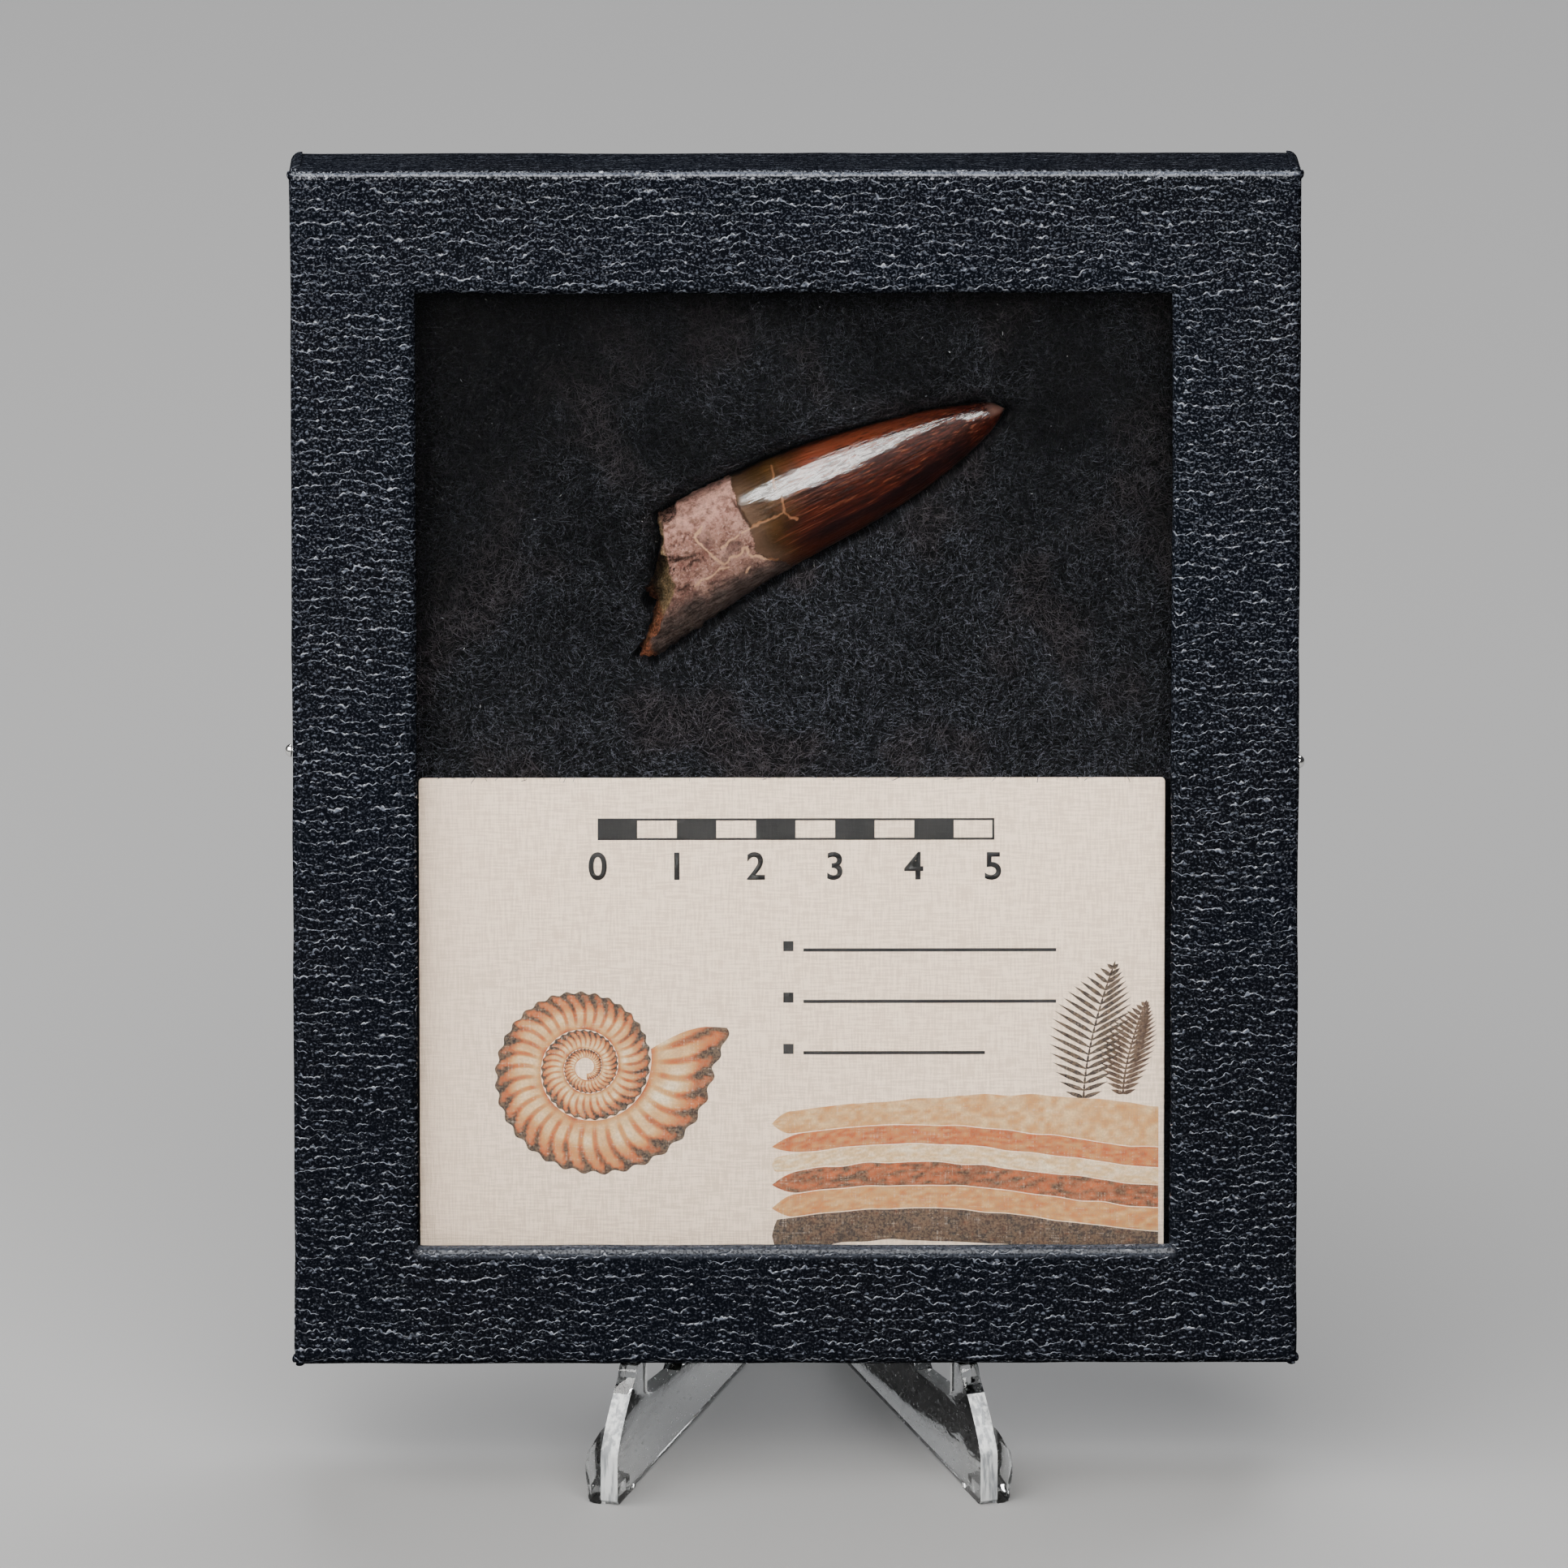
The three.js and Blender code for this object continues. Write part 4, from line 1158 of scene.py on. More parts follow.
def tooth_surface(along, angle):
    """Points of the tooth's side, fluted on the enamel and weathered on the root, and its marks' masks."""
    start = break_at(angle)
    s = start + along * (TOOTH_TIP - start)
    upper, lower = edges_at(s)
    middle, half = (upper + lower) / 2, (upper - lower) / 2
    marks = tooth_marks(s, middle + half * np.cos(angle), angle)
    arc = TOOTH_GIRTH * angle
    enamel = smoothstep(-0.2, 0.3, marks["past_line"])
    fade = smoothstep(0.0, 8.0, TOOTH_TIP - s)
    # Fine flutes run towards the tip, wander a little and come and go.
    turn = angle + 0.06 * grid_noise(s, 6 * angle, 7.0, 5)
    strength = 0.6 + 0.8 * grid_noise(s, 5 * angle, 4.0, 6)
    flutes = (0.014 * np.cos(61 * turn) + 0.012 * np.cos(37 * turn + 1.0)) * strength * enamel * fade
    # The root: broad facets, then lumps that grow towards the break.
    near_break = smoothstep(7.0, 2.5, s)
    facets = noise_on(0.0, s, arc, (0.40, 4.2, 7), (0.16, 1.6, 8))
    nodules = noise_on(0.0, s, arc, (0.62, 1.1, 9), (0.42, 0.55, 10))
    grainy = 0.14 * grid_noise(s, arc, 0.30, 11) + 0.16 * grid_noise(0.4 * s, arc, 0.5, 15)
    grainy = grainy + 0.22 * grid_noise(s, arc, 0.75, 17)
    root = (1 - enamel) * (facets * 0.55 + nodules * near_break + grainy)
    cut = -0.04 * marks["crack"] - 0.45 * marks["fissure"] - 0.12 * marks["plate"] - 0.32 * marks["pore"]
    cut = cut - marks["crust"] * (0.45 - 0.8 * grid_noise(s, arc, 0.6, 16))
    step = 0.05 * enamel * fade
    girth = np.maximum(half + flutes + root + cut + step, 0.0)
    points = np.stack([s, middle + girth * np.cos(angle), girth * TOOTH_FLATNESS * np.sin(angle)], axis=-1)
    return points, marks


def tooth_break(inward, angle):
    """Points of the broken end, from its rim (0) to its middle (1): a crumbly shallow hollow."""
    rim, _ = tooth_surface(np.zeros_like(angle), angle)
    ring = np.linspace(0, 2 * np.pi, 180, endpoint=False)
    centre = tooth_surface(np.zeros_like(ring), ring)[0].mean(axis=0)
    point = centre + (rim - centre) * (1 - inward)[..., None]
    x, y = point[..., 1], point[..., 2]
    crumbs = noise_on(0.0, x, y, (0.9, 1.9, 21), (0.6, 0.8, 22), (0.4, 0.35, 23))
    point[..., 0] += 1.1 * smoothstep(0.02, 0.6, inward) + crumbs * smoothstep(0.0, 0.10, inward)
    return point


class FOSSIL_OT_tooth(bpy.types.Operator):
    """Shapes the tooth from a sphere whose one pole becomes the tip and the other the broken end"""

    bl_idname = "fossil.tooth"
    bl_label = "Build Tooth"

    def execute(self, context):
        clear_selection()
        bpy.ops.mesh.primitive_uv_sphere_add(segments=300, ring_count=330, radius=1.0)
        tooth = added("tooth_fossil")
        x, y, z = points_of(tooth).T
        turn = (np.arctan2(y, x) % (2 * np.pi)) / (2 * np.pi)
        # More of the lengthways lines lie on the front than on the back.
        behind = 1 + (turn - FRONT_SHARE) / (1 - FRONT_SHARE)
        angle = np.where(turn < FRONT_SHARE, np.pi * turn / FRONT_SHARE, np.pi * behind)
        latitude = np.arccos(np.clip(z, -1, 1)) / np.pi
        # The first part of the way from the tip's pole is the side, the rest the broken end.
        on_side = latitude <= SIDE_SHARE
        from_tip = np.clip(latitude / SIDE_SHARE, 0, 1)
        along = 1 - (1.45 * from_tip - 0.45 * from_tip ** 2)
        inward = np.clip((latitude - SIDE_SHARE) / (1 - SIDE_SHARE), 0, 1)
        side, marks = tooth_surface(along, angle)
        placed = np.where(on_side[:, None], side, tooth_break(inward, angle))
        move_points(tooth, placed)
        marks["broken"] = smoothstep(0.01, 0.10, inward)
        lump = smoothstep(-0.5, -1.5, placed[:, 0]) * smoothstep(1.2, 0.2, placed[:, 1])
        marks["rust"] = np.maximum(marks["rust"] * on_side, (1 - on_side) * lump * 0.9)
        for name in ("crack", "fissure", "plate", "pore", "crust"):
            marks[name] = marks[name] * (1 - marks["broken"])
        for name, values in marks.items():
            store(tooth, name, values)
        outward(tooth)
        take(tooth)
        bpy.ops.object.shade_smooth()
        place = CASE_FRAME @ Matrix.Translation(TOOTH_ROOT) @ Matrix.Rotation(TOOTH_RISE, 4, "Z")
        settle(tooth, tooth_material(), ("tooth",), place)
        return {"FINISHED"}


# ---------- batting ----------

BATTING_CROWN = CARD_BACK - GAP
# Soft ridges in the pad, each from one place to another, with its width and its height.
FOLDS = (
    (((-47, 33), (-27, 22)), 4.5, 0.9), (((33, 30), (44, 50)), 8.0, 0.9),
    (((-22, 6), (20, 12)), 6.0, 0.5), (((8, 16), (34, 30)), 5.0, 0.5),
)
# The pad's cut edges are rounded over this width and drop by this much.
CUT_EDGE, CUT_DROP = 5.0, 2.4
# The tooth's bed sinks this far into the pad, and the pad dips this far behind the window's edge.
BED_SINK, EDGE_DIP = 4.6, 1.3
# The pad's lattice of points, across and up.
PAD_COLUMNS, PAD_ROWS = 196, 238
FIBRES_PER_PIECE = 15500
FIBRE_SEED = 100
LINT_SPECKS, LINT_SEED = 60, 777
# How pale the fibres' three tones are beside the pad, and which tone each piece of fibres takes.
FIBRE_LIGHTS = (0.6, 3.4, 14.5)
FIBRE_TONES = (0, 1, 1, 2, 2)


def rear_end(across):
    """How far along the tooth its back starts, for places across it."""
    return rim_at(REAR_RIM, np.clip(rim_share(across), -1.0, 1.0))


def tooth_distance(x, y):
    """How far a place on the face lies outside the tooth's outline; negative inside."""
    s, t = tooth_place(x, y)
    upper, lower = edges_at(s)
    sideways = np.maximum(t - upper, lower - t)
    lengthways = np.maximum(rear_end(t) - s, s - TOOTH_TIP)
    outside = np.hypot(np.maximum(sideways, 0), np.maximum(lengthways, 0))
    return np.where((sideways < 0) & (lengthways < 0), np.maximum(sideways, lengthways), outside)


def tooth_place(x, y):
    """Places on the face as distances along and across the tooth."""
    dx, dy = x - TOOTH_ROOT_X, y - TOOTH_ROOT_UP
    along = dx * math.cos(TOOTH_RISE) + dy * math.sin(TOOTH_RISE)
    return along, -dx * math.sin(TOOTH_RISE) + dy * math.cos(TOOTH_RISE)


def batting_height(x, y):
    """Height of the pad's surface in the case: pressed flat under the card and close round the tooth."""
    pressed = smoothstep(CARD_TOP + 4.0, CARD_TOP - 0.5, y)
    pressed = pressed * smoothstep(CARD_W / 2 + 2, CARD_W / 2, np.abs(x - CARD_X))
    waves = noise_on(0.55, x, y, (1.0, 17.0, 41), (0.5, 6.5, 42), (0.25, 2.2, 43))
    raised = sum(
        height * np.exp(-(line_distance(x, y, line) / width) ** 2) for line, width, height in FOLDS)
    low = np.maximum(waves - raised, -0.05)
    away = tooth_distance(x, y)
    across = tooth_place(x, y)[1]
    reach = 1.5 + 1.5 * smoothstep(-2.0, 4.0, across) + 0.7 * grid_noise(x, y, 5.0, 44)
    sink = BED_SINK * (1 - smoothstep(-0.4, 1.0, away / reach))
    edge = EDGE_DIP * smoothstep(WINDOW_W / 2 - 3.0, WINDOW_W / 2 + 1.0, np.abs(x))
    edge = edge + EDGE_DIP * smoothstep(WINDOW_H / 2 - 3.0, WINDOW_H / 2 + 1.0, np.abs(y))
    return BATTING_CROWN - (1 - pressed) * (low * smoothstep(0, 4, away) + sink) - edge


def tooth_underside(x, y):
    """Height of the tooth's back over a place on the face, where the place lies under it."""
    along, across = tooth_place(x, y)
    upper, lower = edges_at(along)
    half = (upper - lower) / 2 + 0.7
    reach = (across - (upper + lower) / 2) / half
    inside = (np.abs(reach) < 1) & (along > rear_end(across) - 0.5) & (along < TOOTH_TIP + 0.6)
    depth = half * TOOTH_FLATNESS * np.sqrt(np.clip(1 - reach ** 2, 0, 1))
    return np.where(inside, TOOTH_DEPTH - depth - 0.2, 10.0)


class FOSSIL_OT_batting(bpy.types.Operator):
    """Builds the black fibre pad under the tooth"""

    bl_idname = "fossil.batting"
    bl_label = "Build Batting"

    def execute(self, context):
        clear_selection()
        bpy.ops.mesh.primitive_grid_add(x_subdivisions=PAD_COLUMNS, y_subdivisions=PAD_ROWS, size=1.0)
        pad = added("batting_pad")
        pad.scale = (BATTING_W, BATTING_H, 1.0)
        apply_place()
        # Draw the rim down to make the sides, and close the flat back.
        select_parts(pad, edges=lambda e: e.is_boundary)
        bpy.ops.mesh.extrude_region_move(TRANSFORM_OT_translate={"value": (0, 0, -1.0)})
        bpy.ops.mesh.edge_face_add()
        leave_edit()
        points = points_of(pad)
        top = points[:, 2] > -0.5
        x, y = points[:, 0], points[:, 1]
        surface = np.minimum(batting_height(x, y), tooth_underside(x, y))
        points[:, 2] = np.where(top, surface, BATTING_BACK)
        # The pad's sides are rounded and pull in a little, as a cut edge of wadding does.
        rim = np.maximum(np.abs(x) - BATTING_W / 2, np.abs(y) - BATTING_H / 2) / CUT_EDGE + 1
        points[:, 2] -= np.where(top, CUT_DROP * np.clip(rim, 0, 1) ** 2, 0)
        move_points(pad, points)
        outward(pad)
        smooth(pad, 70)
        settle(pad, batting_material("batting_charcoal", 1.0), ("batting",))
        return {"FINISHED"}


def fibre_mesh(name, count, seed, length, width, lift, field):
    """Thin tapered fibres as closed slivers: two tips and two three-sided rings each."""
    source = np.random.default_rng(seed)
    x, y = np.empty(0), np.empty(0)
    while len(x) < count:
        tx = source.uniform(-WINDOW_W / 2 - 1.5, WINDOW_W / 2 + 1.0, count)
        ty = source.uniform(CARD_TOP - 0.3, WINDOW_H / 2 + 1.0, count)
        keep = field(tx, ty, source)
        x, y = np.concatenate([x, tx[keep]]), np.concatenate([y, ty[keep]])
    x, y = x[:count], y[:count]
    lay = 2.6 * grid_noise(x, y, 7.0, 61) * 2 + source.normal(0.25, 0.75, count)
    heading = lay + np.where(source.random(count) < 0.3, source.uniform(0, np.pi, count), 0)
    span = length * source.uniform(0.45, 1.25, count)
    bend = source.normal(0, 0.75, count)
    raise_by = lift * source.random(count) ** 1.6
    thick = width * source.uniform(0.6, 1.2, count)
    stations = []
    for part in (-0.5, -0.17, 0.17, 0.5):
        direction = heading + bend * part
        px = x + np.cos(direction) * span * part
        py = y + np.sin(direction) * span * part
        surface = np.minimum(batting_height(px, py), tooth_underside(px, py) + 0.6)
        pz = surface + raise_by * (1 - 2.6 * part * part) + 0.02
        pz = np.minimum(pz, GLASS_BACK - 0.12)
        stations.append(np.stack([px, py, pz], axis=1))
    across = np.stack([-np.sin(heading), np.cos(heading), np.zeros(count)], axis=1)
    up = np.array([0.0, 0.0, 1.0])
    rows = [stations[0]]
    for middle in stations[1:3]:
        for turn in range(3):
            a = 2 * np.pi * turn / 3 + np.pi / 2
            rows.append(middle + thick[:, None] * (math.cos(a) * across + 0.8 * math.sin(a) * up) / 2)
    rows.append(stations[3])
    points = np.stack(rows, axis=1).reshape(-1, 3)
    pattern = []
    for turn in range(3):
        after = (turn + 1) % 3
        pattern.append((0, 1 + after, 1 + turn))
        pattern.append((1 + turn, 1 + after, 4 + after))
        pattern.append((1 + turn, 4 + after, 4 + turn))
        pattern.append((4 + turn, 4 + after, 7))
    faces = (np.array(pattern)[None, :, :] + 8 * np.arange(count)[:, None, None]).reshape(-1, 3)
    mesh = bpy.data.meshes.new(name)
    mesh.vertices.add(len(points))
    mesh.vertices.foreach_set("co", points.astype(np.float32).ravel())
    mesh.loops.add(faces.size)
    mesh.loops.foreach_set("vertex_index", faces.astype(np.int32).ravel())
    mesh.polygons.add(len(faces))
    mesh.polygons.foreach_set("loop_start", np.arange(0, faces.size, 3, dtype=np.int32))
    mesh.update(calc_edges=True)
    mesh.validate()
    return put_in_scene(name, mesh)


def on_pad(x, y, source):
    """Fibres lie anywhere on the open batting, and thin out under the tooth."""
    return tooth_distance(x, y) > -0.6


def near_tooth_only(x, y, source):
    """Lint gathers near the tooth, and a little of it lies anywhere."""
    away = tooth_distance(x, y)
    return (away > 0.2) & (source.random(len(x)) < 0.25 + 0.75 * (away < 4))


class FOSSIL_OT_fibres(bpy.types.Operator):
    """Lays loose fibres over the batting, and a few specks of lint"""

    bl_idname = "fossil.fibres"
    bl_label = "Lay Fibres"

    def execute(self, context):
        sizes = context.scene.fossil_display
        tones = [batting_material(f"fibre_tone_{index}", light) for index, light in enumerate(FIBRE_LIGHTS)]
        for index, tone in enumerate(FIBRE_TONES):
            length = sizes.fibre_length / MM * (1.0 + 0.12 * index)
            piece = fibre_mesh(
                f"batting_fibres_{index + 1}", FIBRES_PER_PIECE, FIBRE_SEED + index,
                length, sizes.fibre_width / MM, 0.55 + 0.1 * index, on_pad)
            settle(piece, tones[tone])
        lint = fibre_mesh("batting_lint", LINT_SPECKS, LINT_SEED, 0.5, 0.13, 0.6, near_tooth_only)
        settle(lint, lint_material())
        return {"FINISHED"}


# ---------- label card ----------

CARD_CORNER_R = 0.5
CARD_EDGE_R = 0.09


class FOSSIL_OT_card(bpy.types.Operator):
    """Cuts the label card"""

    bl_idname = "fossil.card"
    bl_label = "Build Label Card"

    def execute(self, context):
        middle = (CARD_X, CARD_TOP - CARD_H / 2, (CARD_FRONT + CARD_BACK) / 2)
        card = block("card_sheet", (CARD_W, CARD_H, CARD_T), middle)
        round_edges(card, lambda e: rise_of(e) > 0.1, CARD_CORNER_R, 3)
        bevel_corners(card, CARD_EDGE_R, 2, 60)
        smooth(card, 40)
        settle(card, card_material(tuple(context.scene.fossil_display.card)), ("label_card",))
        return {"FINISHED"}


INK_T = 0.04
INK_TOP = CARD_FRONT + 0.03
CENTIMETRE = 10.0
SCALE_LEFT, SCALE_UP, SCALE_LENGTH = -25.0, -8.0, 50.0
# Each note line starts at the same place across the card and ends at one of these.
NOTE_LEFT, NOTE_ENDS = 1.0, (33.0, 33.0, 24.0)


def printed_bar(x, y, width, height):
    """One flat printed bar on the card."""
    clear_selection()
    bpy.ops.mesh.primitive_plane_add(size=1.0, location=(x, y, INK_TOP))
    bar = bpy.context.object
    bar.scale = (width, height, 1.0)
    apply_place()
    return bar


def printed_number(text, x, y, height):
    """A plain numeral, a little bolder than the font has it, turned from text to a mesh."""
    clear_selection()
    bpy.ops.object.text_add(location=(x, y, INK_TOP))
    number = bpy.context.object
    number.data.body = text
    number.data.size = height * 1.4
    number.data.align_x = "CENTER"
    number.data.offset = 0.09
    bpy.ops.object.convert(target="MESH")
    apply_place()
    return number


def join_flat(parts, name):
    """Joins flat printed shapes into one and gives them the thickness of a coat of ink."""
    whole = join(parts, name)
    apply_modifier(whole, "SOLIDIFY", thickness=INK_T, offset=-1.0)
    outward(whole)
    return whole


def printed_scale():
    """A specimen scale in centimetres, with blank ruled lines for notes beside the picture."""
    left, up, length = SCALE_LEFT, SCALE_UP, SCALE_LENGTH
    half = CENTIMETRE / 2
    parts = [printed_bar(left + index * CENTIMETRE + half / 2, up, half, 2.5) for index in range(5)]
    parts += [printed_bar(left + length / 2, up + edge, length, 0.28) for edge in (-1.25, 1.25)]
    parts.append(printed_bar(left + length, up, 0.28, 2.78))
    parts += [printed_number(str(index), left + index * CENTIMETRE, up - 6.4, 3.5) for index in range(6)]
    for index, end in enumerate(NOTE_ENDS):
        height = -23.5 - 6.6 * index
        parts.append(printed_bar((NOTE_LEFT + end) / 2, height, end - NOTE_LEFT, 0.42))
        parts.append(printed_bar(NOTE_LEFT - 1.9, height + 0.5, 1.3, 1.3))
    return join_flat(parts, "label_scale")


def printed_grid(columns, rows):
    """A fine flat grid, and its points' places along it and across it as shares from 0 to 1."""
    clear_selection()
    bpy.ops.mesh.primitive_grid_add(x_subdivisions=columns, y_subdivisions=rows, size=1.0)
    piece = bpy.context.object
    along, across, _ = points_of(piece).T + 0.5
    return piece, along, across


def lay_print(piece, x, y):
    """Moves a printed grid's points to places on the card."""
    move_points(piece, np.stack([x, y, np.full(len(x), INK_TOP)], axis=1))


def printed_ammonite(x, y, radius):
    """A ribbed spiral shell: a long grid wound up, with a darker back and creamy flanks."""
    piece, u, v = printed_grid(1500, 9)
    turn = 2 * np.pi * 3.3 * u
    outer = radius * np.exp(-0.112 * turn)
    rib = np.cos(33 * turn + 2.2 * (v - 0.4) ** 2 * 6)
    reach = outer * (0.505 + 0.495 * v * (1 + 0.035 * rib * smoothstep(0.7, 1.0, v)))
    lip = 1 + 0.10 * smoothstep(0.35, 0.0, turn) * v
    angle = 0.35 - turn - 0.30 * (v - 0.5) ** 2 * smoothstep(0.5, 0.0, turn)
    lay_print(piece, x + reach * lip * np.cos(angle), y + reach * lip * np.sin(angle))
    body = 0.84 - 0.42 * smoothstep(0.35, 0.95, v) - 0.30 * smoothstep(0.90, 1.0, v)
    body = body - 0.40 * smoothstep(0.16, 0.0, v)
    mottled = 0.34 * grid_noise(5 * turn, 6 * v, 1.2, 91)
    ribbed = 0.34 * smoothstep(0.1, -0.9, rib) * smoothstep(0.02, 0.3, v)
    store(piece, "tone", np.clip(body + mottled - ribbed, 0.03, 1))
    return piece


# The shell's middle and radius, and each fern's foot, height, lean and tone.
SHELL = (-26.5, -38.5, 16.8)
FERNS = ((36.5, -42.5, 17.5, 4.0, 0.10), (41.5, -42.0, 12.0, 3.0, 0.22))
# The beds' tones from the top one down, and the heights of their tops and of the last one's foot.
BED_TONES = (0.72, 0.50, 0.88, 0.34, 0.62, 0.16)
BED_TOPS = (-44.5, -47.6, -50.2, -52.4, -55.4, -58.4, -62.5)


def printed_strata():
    """Beds of rock in section under the ruled lines, running out to the card's edge."""
    beds = []
    for index, tone in enumerate(BED_TONES):
        piece, u, v = printed_grid(150, 8)
        x = -3.0 + 49.0 * u
        top, bottom = [
            BED_TOPS[bed] + 1.6 * np.sin(0.085 * x + 0.3) + 0.35 * grid_noise(x, 0 * x + 4 * bed, 3.0, 92)
            for bed in (index, index + 1)]
        if index == 0:
            top = top + 2.4 * smoothstep(8.0, 40.0, x)
        bottom = bottom + 0.12
        start = 0.05 + 0.04 * math.sin(2.3 * index)
        swept = 0.5 + (v - 0.5) * np.sqrt(smoothstep(0.0, start, u))
        lay_print(piece, x, bottom + (top - bottom) * swept)
        specks = 0.30 * grid_noise(x, 9 * v, 0.8, 94 + index)
        store(piece, "tone", np.clip(tone + specks, 0.04, 1.0))
        beds.append(piece)
    return beds


# A leaflet's outline: shares of its length, and of half its width.
LEAFLET = ((0, 0.25), (0.25, 1.0), (0.6, 0.8), (1.0, 0.04), (0.6, -0.8), (0.25, -1.0), (0, -0.25))
LEAFLET_PAIRS = 19


def printed_fern(x, y, height, lean, tone):
    """A fern frond: a stem with pairs of tapering leaflets."""
    points, faces = [], []

    def blade(x0, y0, x1, y1, width):
        dx, dy = x1 - x0, y1 - y0
        size = math.hypot(dx, dy)
        nx, ny = -dy / size * width / 2, dx / size * width / 2
        start = len(points)
        for share, half in LEAFLET:
            points.append((x0 + dx * share + nx * half, y0 + dy * share + ny * half, INK_TOP + 0.02))
        faces.append(tuple(reversed(range(start, start + len(LEAFLET)))))

    for index in range(LEAFLET_PAIRS):
        share = index / LEAFLET_PAIRS
        px, py = x + lean * share ** 1.6, y + height * share
        qx = x + lean * ((index + 1) / LEAFLET_PAIRS) ** 1.6
        qy = y + height * (index + 1) / LEAFLET_PAIRS
        blade(px, py, qx, qy + 0.1, 0.30)
        length = 0.36 * height * math.sin(math.pi * (0.12 + 0.86 * share)) * (1 - 0.45 * share)
        for side in (-1, 1):
            blade(px, py, px + side * length, py + length * (0.35 + 0.5 * share), 0.55)
    mesh = bpy.data.meshes.new("fern")
    mesh.from_pydata(points, [], faces)
    piece = put_in_scene("fern", mesh)
    store(piece, "tone", np.full(len(points), tone))
    return piece


# Inks of the picture from the darkest tone to the palest.
INK_STOPS = (
    (0.05, (0.014, 0.011, 0.011, 1.0)), (0.25, (0.060, 0.026, 0.013, 1.0)),
    (0.45, (0.460, 0.095, 0.014, 1.0)), (0.65, (0.560, 0.270, 0.080, 1.0)),
    (0.85, (0.740, 0.500, 0.260, 1.0)), (1.0, (0.880, 0.740, 0.520, 1.0)),
)


def picture_material():
    """Printed picture: black, brown, rust, ochre and cream inks by tone, broken up by the card's weave."""
    material, place = new_material("label_picture_inks", case_millimetres)
    inks = node(place.tree, "ValToRGB", "Color", {"Fac": stored(place, "tone")})
    elements = inks.socket.node.color_ramp.elements
    elements[0].position, elements[0].color = INK_STOPS[0]
    elements[1].position, elements[1].color = INK_STOPS[-1]
    for position, colour in INK_STOPS[1:-1]:
        elements.new(position).color = colour
    weave = linen(place)
    dots = ramp(grain(place, 3.5, 2.0), 0.35, 0.65, 0.0, 0.35)
    dotted = blend(dots, inks, (0.30, 0.20, 0.12))
    return finished(material, {
        "Base Color": blend(ramp(weave, 1.10, 1.35, 0.0, 0.22), dotted, (0.80, 0.70, 0.60)),
        "Normal": bump(weave, 0.05, 0.5),
        "Roughness": 0.6,
    })


class FOSSIL_OT_print(bpy.types.Operator):
    """Prints a centimetre scale, note lines and a fossil-bed picture on the card"""

    bl_idname = "fossil.label_print"
    bl_label = "Print Label"

    def execute(self, context):
        black = ink_material("label_ink_black", (0.006, 0.006, 0.007), (0.022, 0.020, 0.020))
        settle(printed_scale(), black)
        parts = [printed_ammonite(*SHELL)] + printed_strata() + [printed_fern(*fern) for fern in FERNS]
        settle(join_flat(parts, "label_picture"), picture_material())
        return {"FINISHED"}


# ---------- pins ----------

PIN_HEAD_R = 0.85
PIN_SHAFT = 10.8
PIN_POINT = 0.9
SHAFT_R = 0.36


def under_the_head(face):
    """Whether a face is where the shaft leaves the pin's head."""
    middle = face.calc_center_median()
    return middle.z < 0 and middle.xy.length < SHAFT_R


class FOSSIL_OT_pins(bpy.types.Operator):
    """Turns the two nickel pins"""

    bl_idname = "fossil.pins"
    bl_label = "Build Pins"

    def execute(self, context):
        nickel = pin_material()
        for name, side in (("pin_left", -1), ("pin_right", 1)):
            clear_selection()
            bpy.ops.mesh.primitive_uv_sphere_add(segments=32, ring_count=24, radius=PIN_HEAD_R)
            head = added(name + "_finished")
            # Squash the ball to a domed head with a flat underside, then draw the shaft out of it.
            points = points_of(head)
            points[:, 2] *= np.where(points[:, 2] > 0, 0.94, 0.12)
            move_points(head, points)
            select_parts(head, faces=under_the_head)
            bpy.ops.mesh.extrude_region_move(TRANSFORM_OT_translate={"value": (0, 0, -PIN_SHAFT)})
            bpy.ops.transform.resize(value=(0.92, 0.92, 1.0))
            bpy.ops.mesh.extrude_region_move(TRANSFORM_OT_translate={"value": (0, 0, -PIN_POINT)})
            bpy.ops.transform.resize(value=(0.1, 0.1, 1.0))
            leave_edit()
            smooth(head, 35)
            turn = Matrix.Rotation(side * math.pi / 2, 4, "Y")
            place = Matrix.Translation((side * (HALF_W + GAP), PIN_UP[name], -PIN_DEPTH))
            settle(head, nickel, (name,), CASE_FRAME @ place @ turn)
        return {"FINISHED"}


# ---------- stand ----------

LEG_EDGE_R = 0.22
# The frosted front edge ends this far behind the toe.
FROST_BACK = 8.5


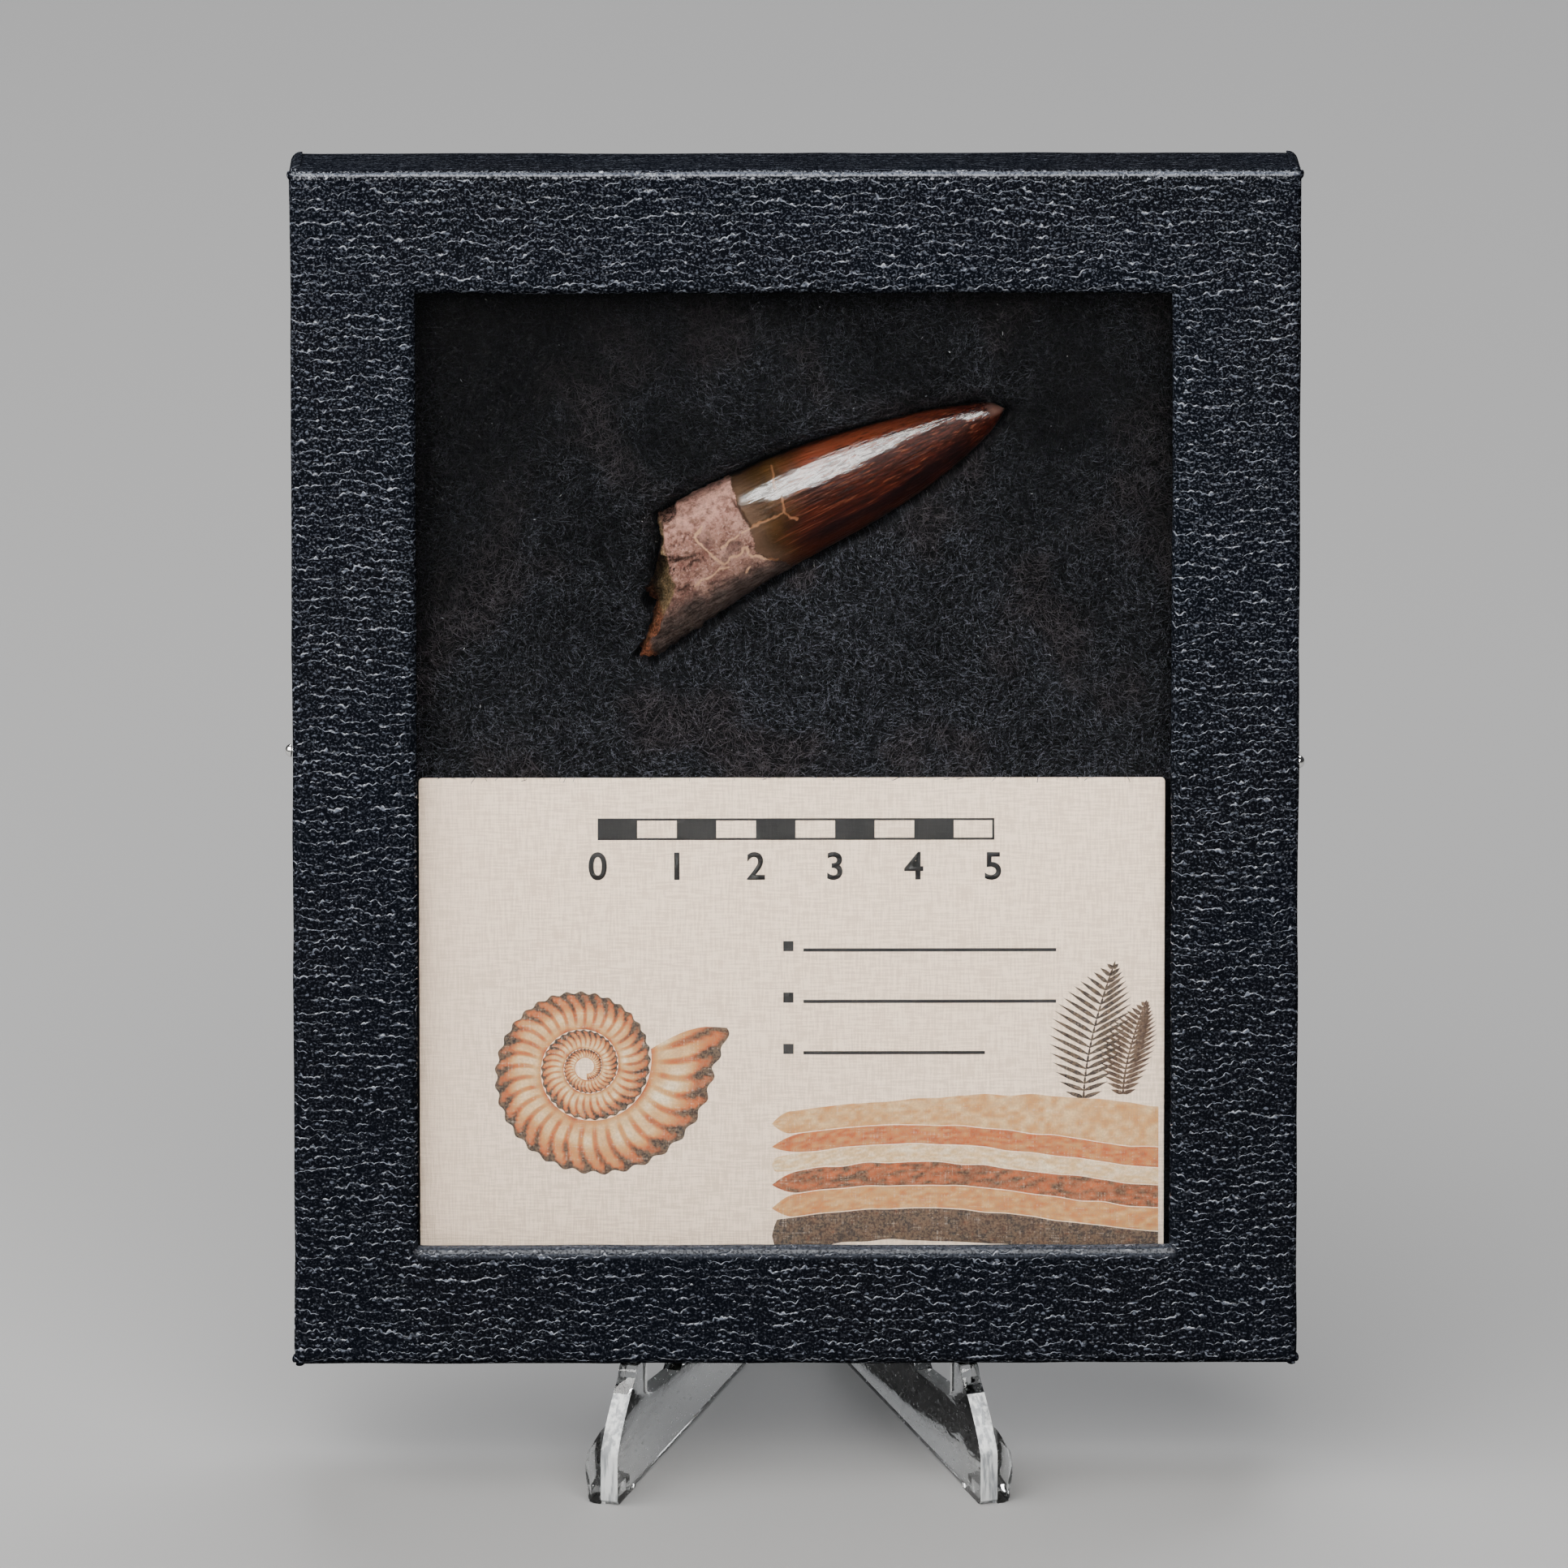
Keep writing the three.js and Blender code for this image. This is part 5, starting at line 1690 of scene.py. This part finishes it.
class FOSSIL_OT_stand(bpy.types.Operator):
    """Finishes the two clear legs: rounded edges and a frosted front edge"""

    bl_idname = "fossil.stand"
    bl_label = "Build Stand"

    def execute(self, context):
        clear, frosted = clear_plastic_material(), frosted_plastic_material()
        for name, side in (("stand_leg_left", -1), ("stand_leg_right", 1)):
            leg = put_in_scene(name + "_finished", node_object(name).data.copy())
            outward(leg, 1e-6)
            edit_all(leg)
            bpy.ops.mesh.dissolve_limited(angle_limit=math.radians(1.5))
            leave_edit()
            toe = Vector(((STAND_X + side * TOE_X) * MM, TOE_LINE * MM, 0))
            forward = Vector((side * math.sin(SPLAY), -math.cos(SPLAY), 0))
            sideways = Vector((math.cos(SPLAY), side * math.sin(SPLAY), 0))
            for edge_side in (-1, 1):
                bisect(leg, toe + sideways * (edge_side * (LEG_T / 2 - 0.01) * MM), sideways)
            bisect(leg, toe + Vector((0, 0, FROST_TOP * MM)), (0, 0, 1))
            bevel_corners(leg, LEG_EDGE_R * MM, 3, 35)
            paint(leg, clear, frosted)
            for face in leg.data.polygons:
                from_toe = face.center - toe
                back = -from_toe.dot(forward) / MM
                off = abs(from_toe.dot(sideways)) / MM
                faces_front = face.normal.dot(forward) > 0.55 and off < LEG_T / 2 + 0.05
                if faces_front and face.center.z < FROST_TOP * MM and back < FROST_BACK:
                    face.material_index = 1
            smooth(leg, 30)
            settle(leg, None, (name,), None)
        return {"FINISHED"}


# ---------- stage ----------

CAMERA_DISTANCE = 2.2
CAMERA_RISE = math.radians(20.066)
CAMERA_TURN = math.radians(-0.396)
CAMERA_ROLL = math.radians(0.058)
CAMERA_TARGET = Vector((-0.001329, 0.0, 0.082903))
# The focal length as a multiple of the picture's width.
FOCAL_WIDTHS = 21281.0 / 1932.0
# Each softbox's name, place, target, width, height, power and colour.
SOFTBOXES = (
    ("key_softbox", (-0.25, -0.47, 0.68), (0.0, 0.0, 0.095), 2.00, 0.80, 56.0, (1.0, 0.985, 0.96)),
    ("floor_softbox", (0.15, 0.85, 1.25), (0.0, 0.55, 0.0), 1.2, 0.7, 36.0, (0.97, 0.98, 1.0)),
)
SKY_COLOUR = (0.9, 0.95, 1.0, 1.0)
SKY_STRENGTH = 0.035


def area_light(name, place, target, width, height, power, colour):
    """A rectangular light, turned to a target."""
    light = bpy.data.lights.new(name, "AREA")
    light.shape = "RECTANGLE"
    light.size, light.size_y = width, height
    light.energy = power
    light.color = colour
    holder = put_in_scene(name, light)
    holder.location = place
    holder.rotation_euler = (Vector(target) - Vector(place)).to_track_quat("-Z", "Y").to_euler()


class FOSSIL_OT_stage(bpy.types.Operator):
    """Sets up the pale floor, the soft lights and the camera"""

    bl_idname = "fossil.stage"
    bl_label = "Build Stage"

    def execute(self, context):
        clear_selection()
        bpy.ops.mesh.primitive_plane_add(size=6.0, location=(0, 0.8, 0))
        floor = added("studio_floor_plane")
        paint(floor, floor_material(tuple(context.scene.fossil_display.floor)))
        world = bpy.data.worlds.new("studio_world")
        world.use_nodes = True
        background = world.node_tree.nodes["Background"]
        background.inputs["Color"].default_value = SKY_COLOUR
        background.inputs["Strength"].default_value = SKY_STRENGTH
        context.scene.world = world
        for softbox in SOFTBOXES:
            area_light(*softbox)
        camera = bpy.data.cameras.new("studio_camera")
        camera.sensor_width = 36.0
        camera.lens = FOCAL_WIDTHS * camera.sensor_width
        camera.clip_start, camera.clip_end = 0.05, 20.0
        holder = put_in_scene("studio_camera", camera)
        direction = Vector((
            math.sin(CAMERA_TURN) * math.cos(CAMERA_RISE),
            -math.cos(CAMERA_TURN) * math.cos(CAMERA_RISE),
            math.sin(CAMERA_RISE),
        ))
        look = (-direction).to_track_quat("-Z", "Y").to_matrix().to_4x4()
        stand_point = Matrix.Translation(CAMERA_TARGET + CAMERA_DISTANCE * direction)
        holder.matrix_world = stand_point @ look @ Matrix.Rotation(CAMERA_ROLL, 4, "Z")
        context.scene.camera = holder
        return {"FINISHED"}


# ---------- settings, panel and run ----------

class FossilDisplaySettings(bpy.types.PropertyGroup):
    """Sizes and colours that a user would change"""

    leatherette: bpy.props.FloatVectorProperty(
        name="Leatherette", description="Colour of the covering paper", subtype="COLOR",
        default=(0.0016, 0.0020, 0.0032), min=0.0, max=1.0)
    card: bpy.props.FloatVectorProperty(
        name="Card", description="Colour of the label card", subtype="COLOR",
        default=(1.0, 0.80, 0.63), min=0.0, max=1.0)
    floor: bpy.props.FloatVectorProperty(
        name="Floor", description="Colour of the studio floor", subtype="COLOR",
        default=(0.15, 0.15, 0.15), min=0.0, max=1.0)
    paper_wave: bpy.props.FloatProperty(
        name="Paper wave", description="Unevenness of the glued covering paper", default=0.00016,
        min=0.0, max=0.001, precision=5, unit="LENGTH")
    fibre_length: bpy.props.FloatProperty(
        name="Fibre length", description="Usual length of a loose fibre", default=0.0015,
        min=0.0002, max=0.006, precision=5, unit="LENGTH")
    fibre_width: bpy.props.FloatProperty(
        name="Fibre width", description="Thickness of a loose fibre", default=0.000095,
        min=0.00001, max=0.0003, precision=6, unit="LENGTH")


class FOSSIL_PT_panel(bpy.types.Panel):
    """Lists the display's settings and build steps"""

    bl_idname = "FOSSIL_PT_panel"
    bl_label = "Fossil Tooth Display"
    bl_space_type = "VIEW_3D"
    bl_region_type = "UI"
    bl_category = "Fossil Tooth"

    def draw(self, context):
        sizes = context.scene.fossil_display
        for name in FossilDisplaySettings.__annotations__:
            self.layout.prop(sizes, name)
        for step in STEPS:
            self.layout.operator(step.bl_idname)


STEPS = (
    FOSSIL_OT_lid,
    FOSSIL_OT_tray,
    FOSSIL_OT_pane,
    FOSSIL_OT_tooth,
    FOSSIL_OT_batting,
    FOSSIL_OT_fibres,
    FOSSIL_OT_card,
    FOSSIL_OT_print,
    FOSSIL_OT_pins,
    FOSSIL_OT_stand,
    FOSSIL_OT_stage,
)


def register():
    bpy.utils.register_class(FossilDisplaySettings)
    bpy.types.Scene.fossil_display = bpy.props.PointerProperty(type=FossilDisplaySettings)
    for step in STEPS:
        bpy.utils.register_class(step)
    bpy.utils.register_class(FOSSIL_PT_panel)


def unregister():
    bpy.utils.unregister_class(FOSSIL_PT_panel)
    for step in reversed(STEPS):
        bpy.utils.unregister_class(step)
    del bpy.types.Scene.fossil_display
    bpy.utils.unregister_class(FossilDisplaySettings)


def main():
    register()
    bpy.ops.fossil.lid()
    bpy.ops.fossil.tray()
    bpy.ops.fossil.pane()
    bpy.ops.fossil.tooth()
    bpy.ops.fossil.batting()
    bpy.ops.fossil.fibres()
    bpy.ops.fossil.card()
    bpy.ops.fossil.label_print()
    bpy.ops.fossil.pins()
    bpy.ops.fossil.stand()
    bpy.ops.fossil.stage()


if __name__ == "__main__":
    main()
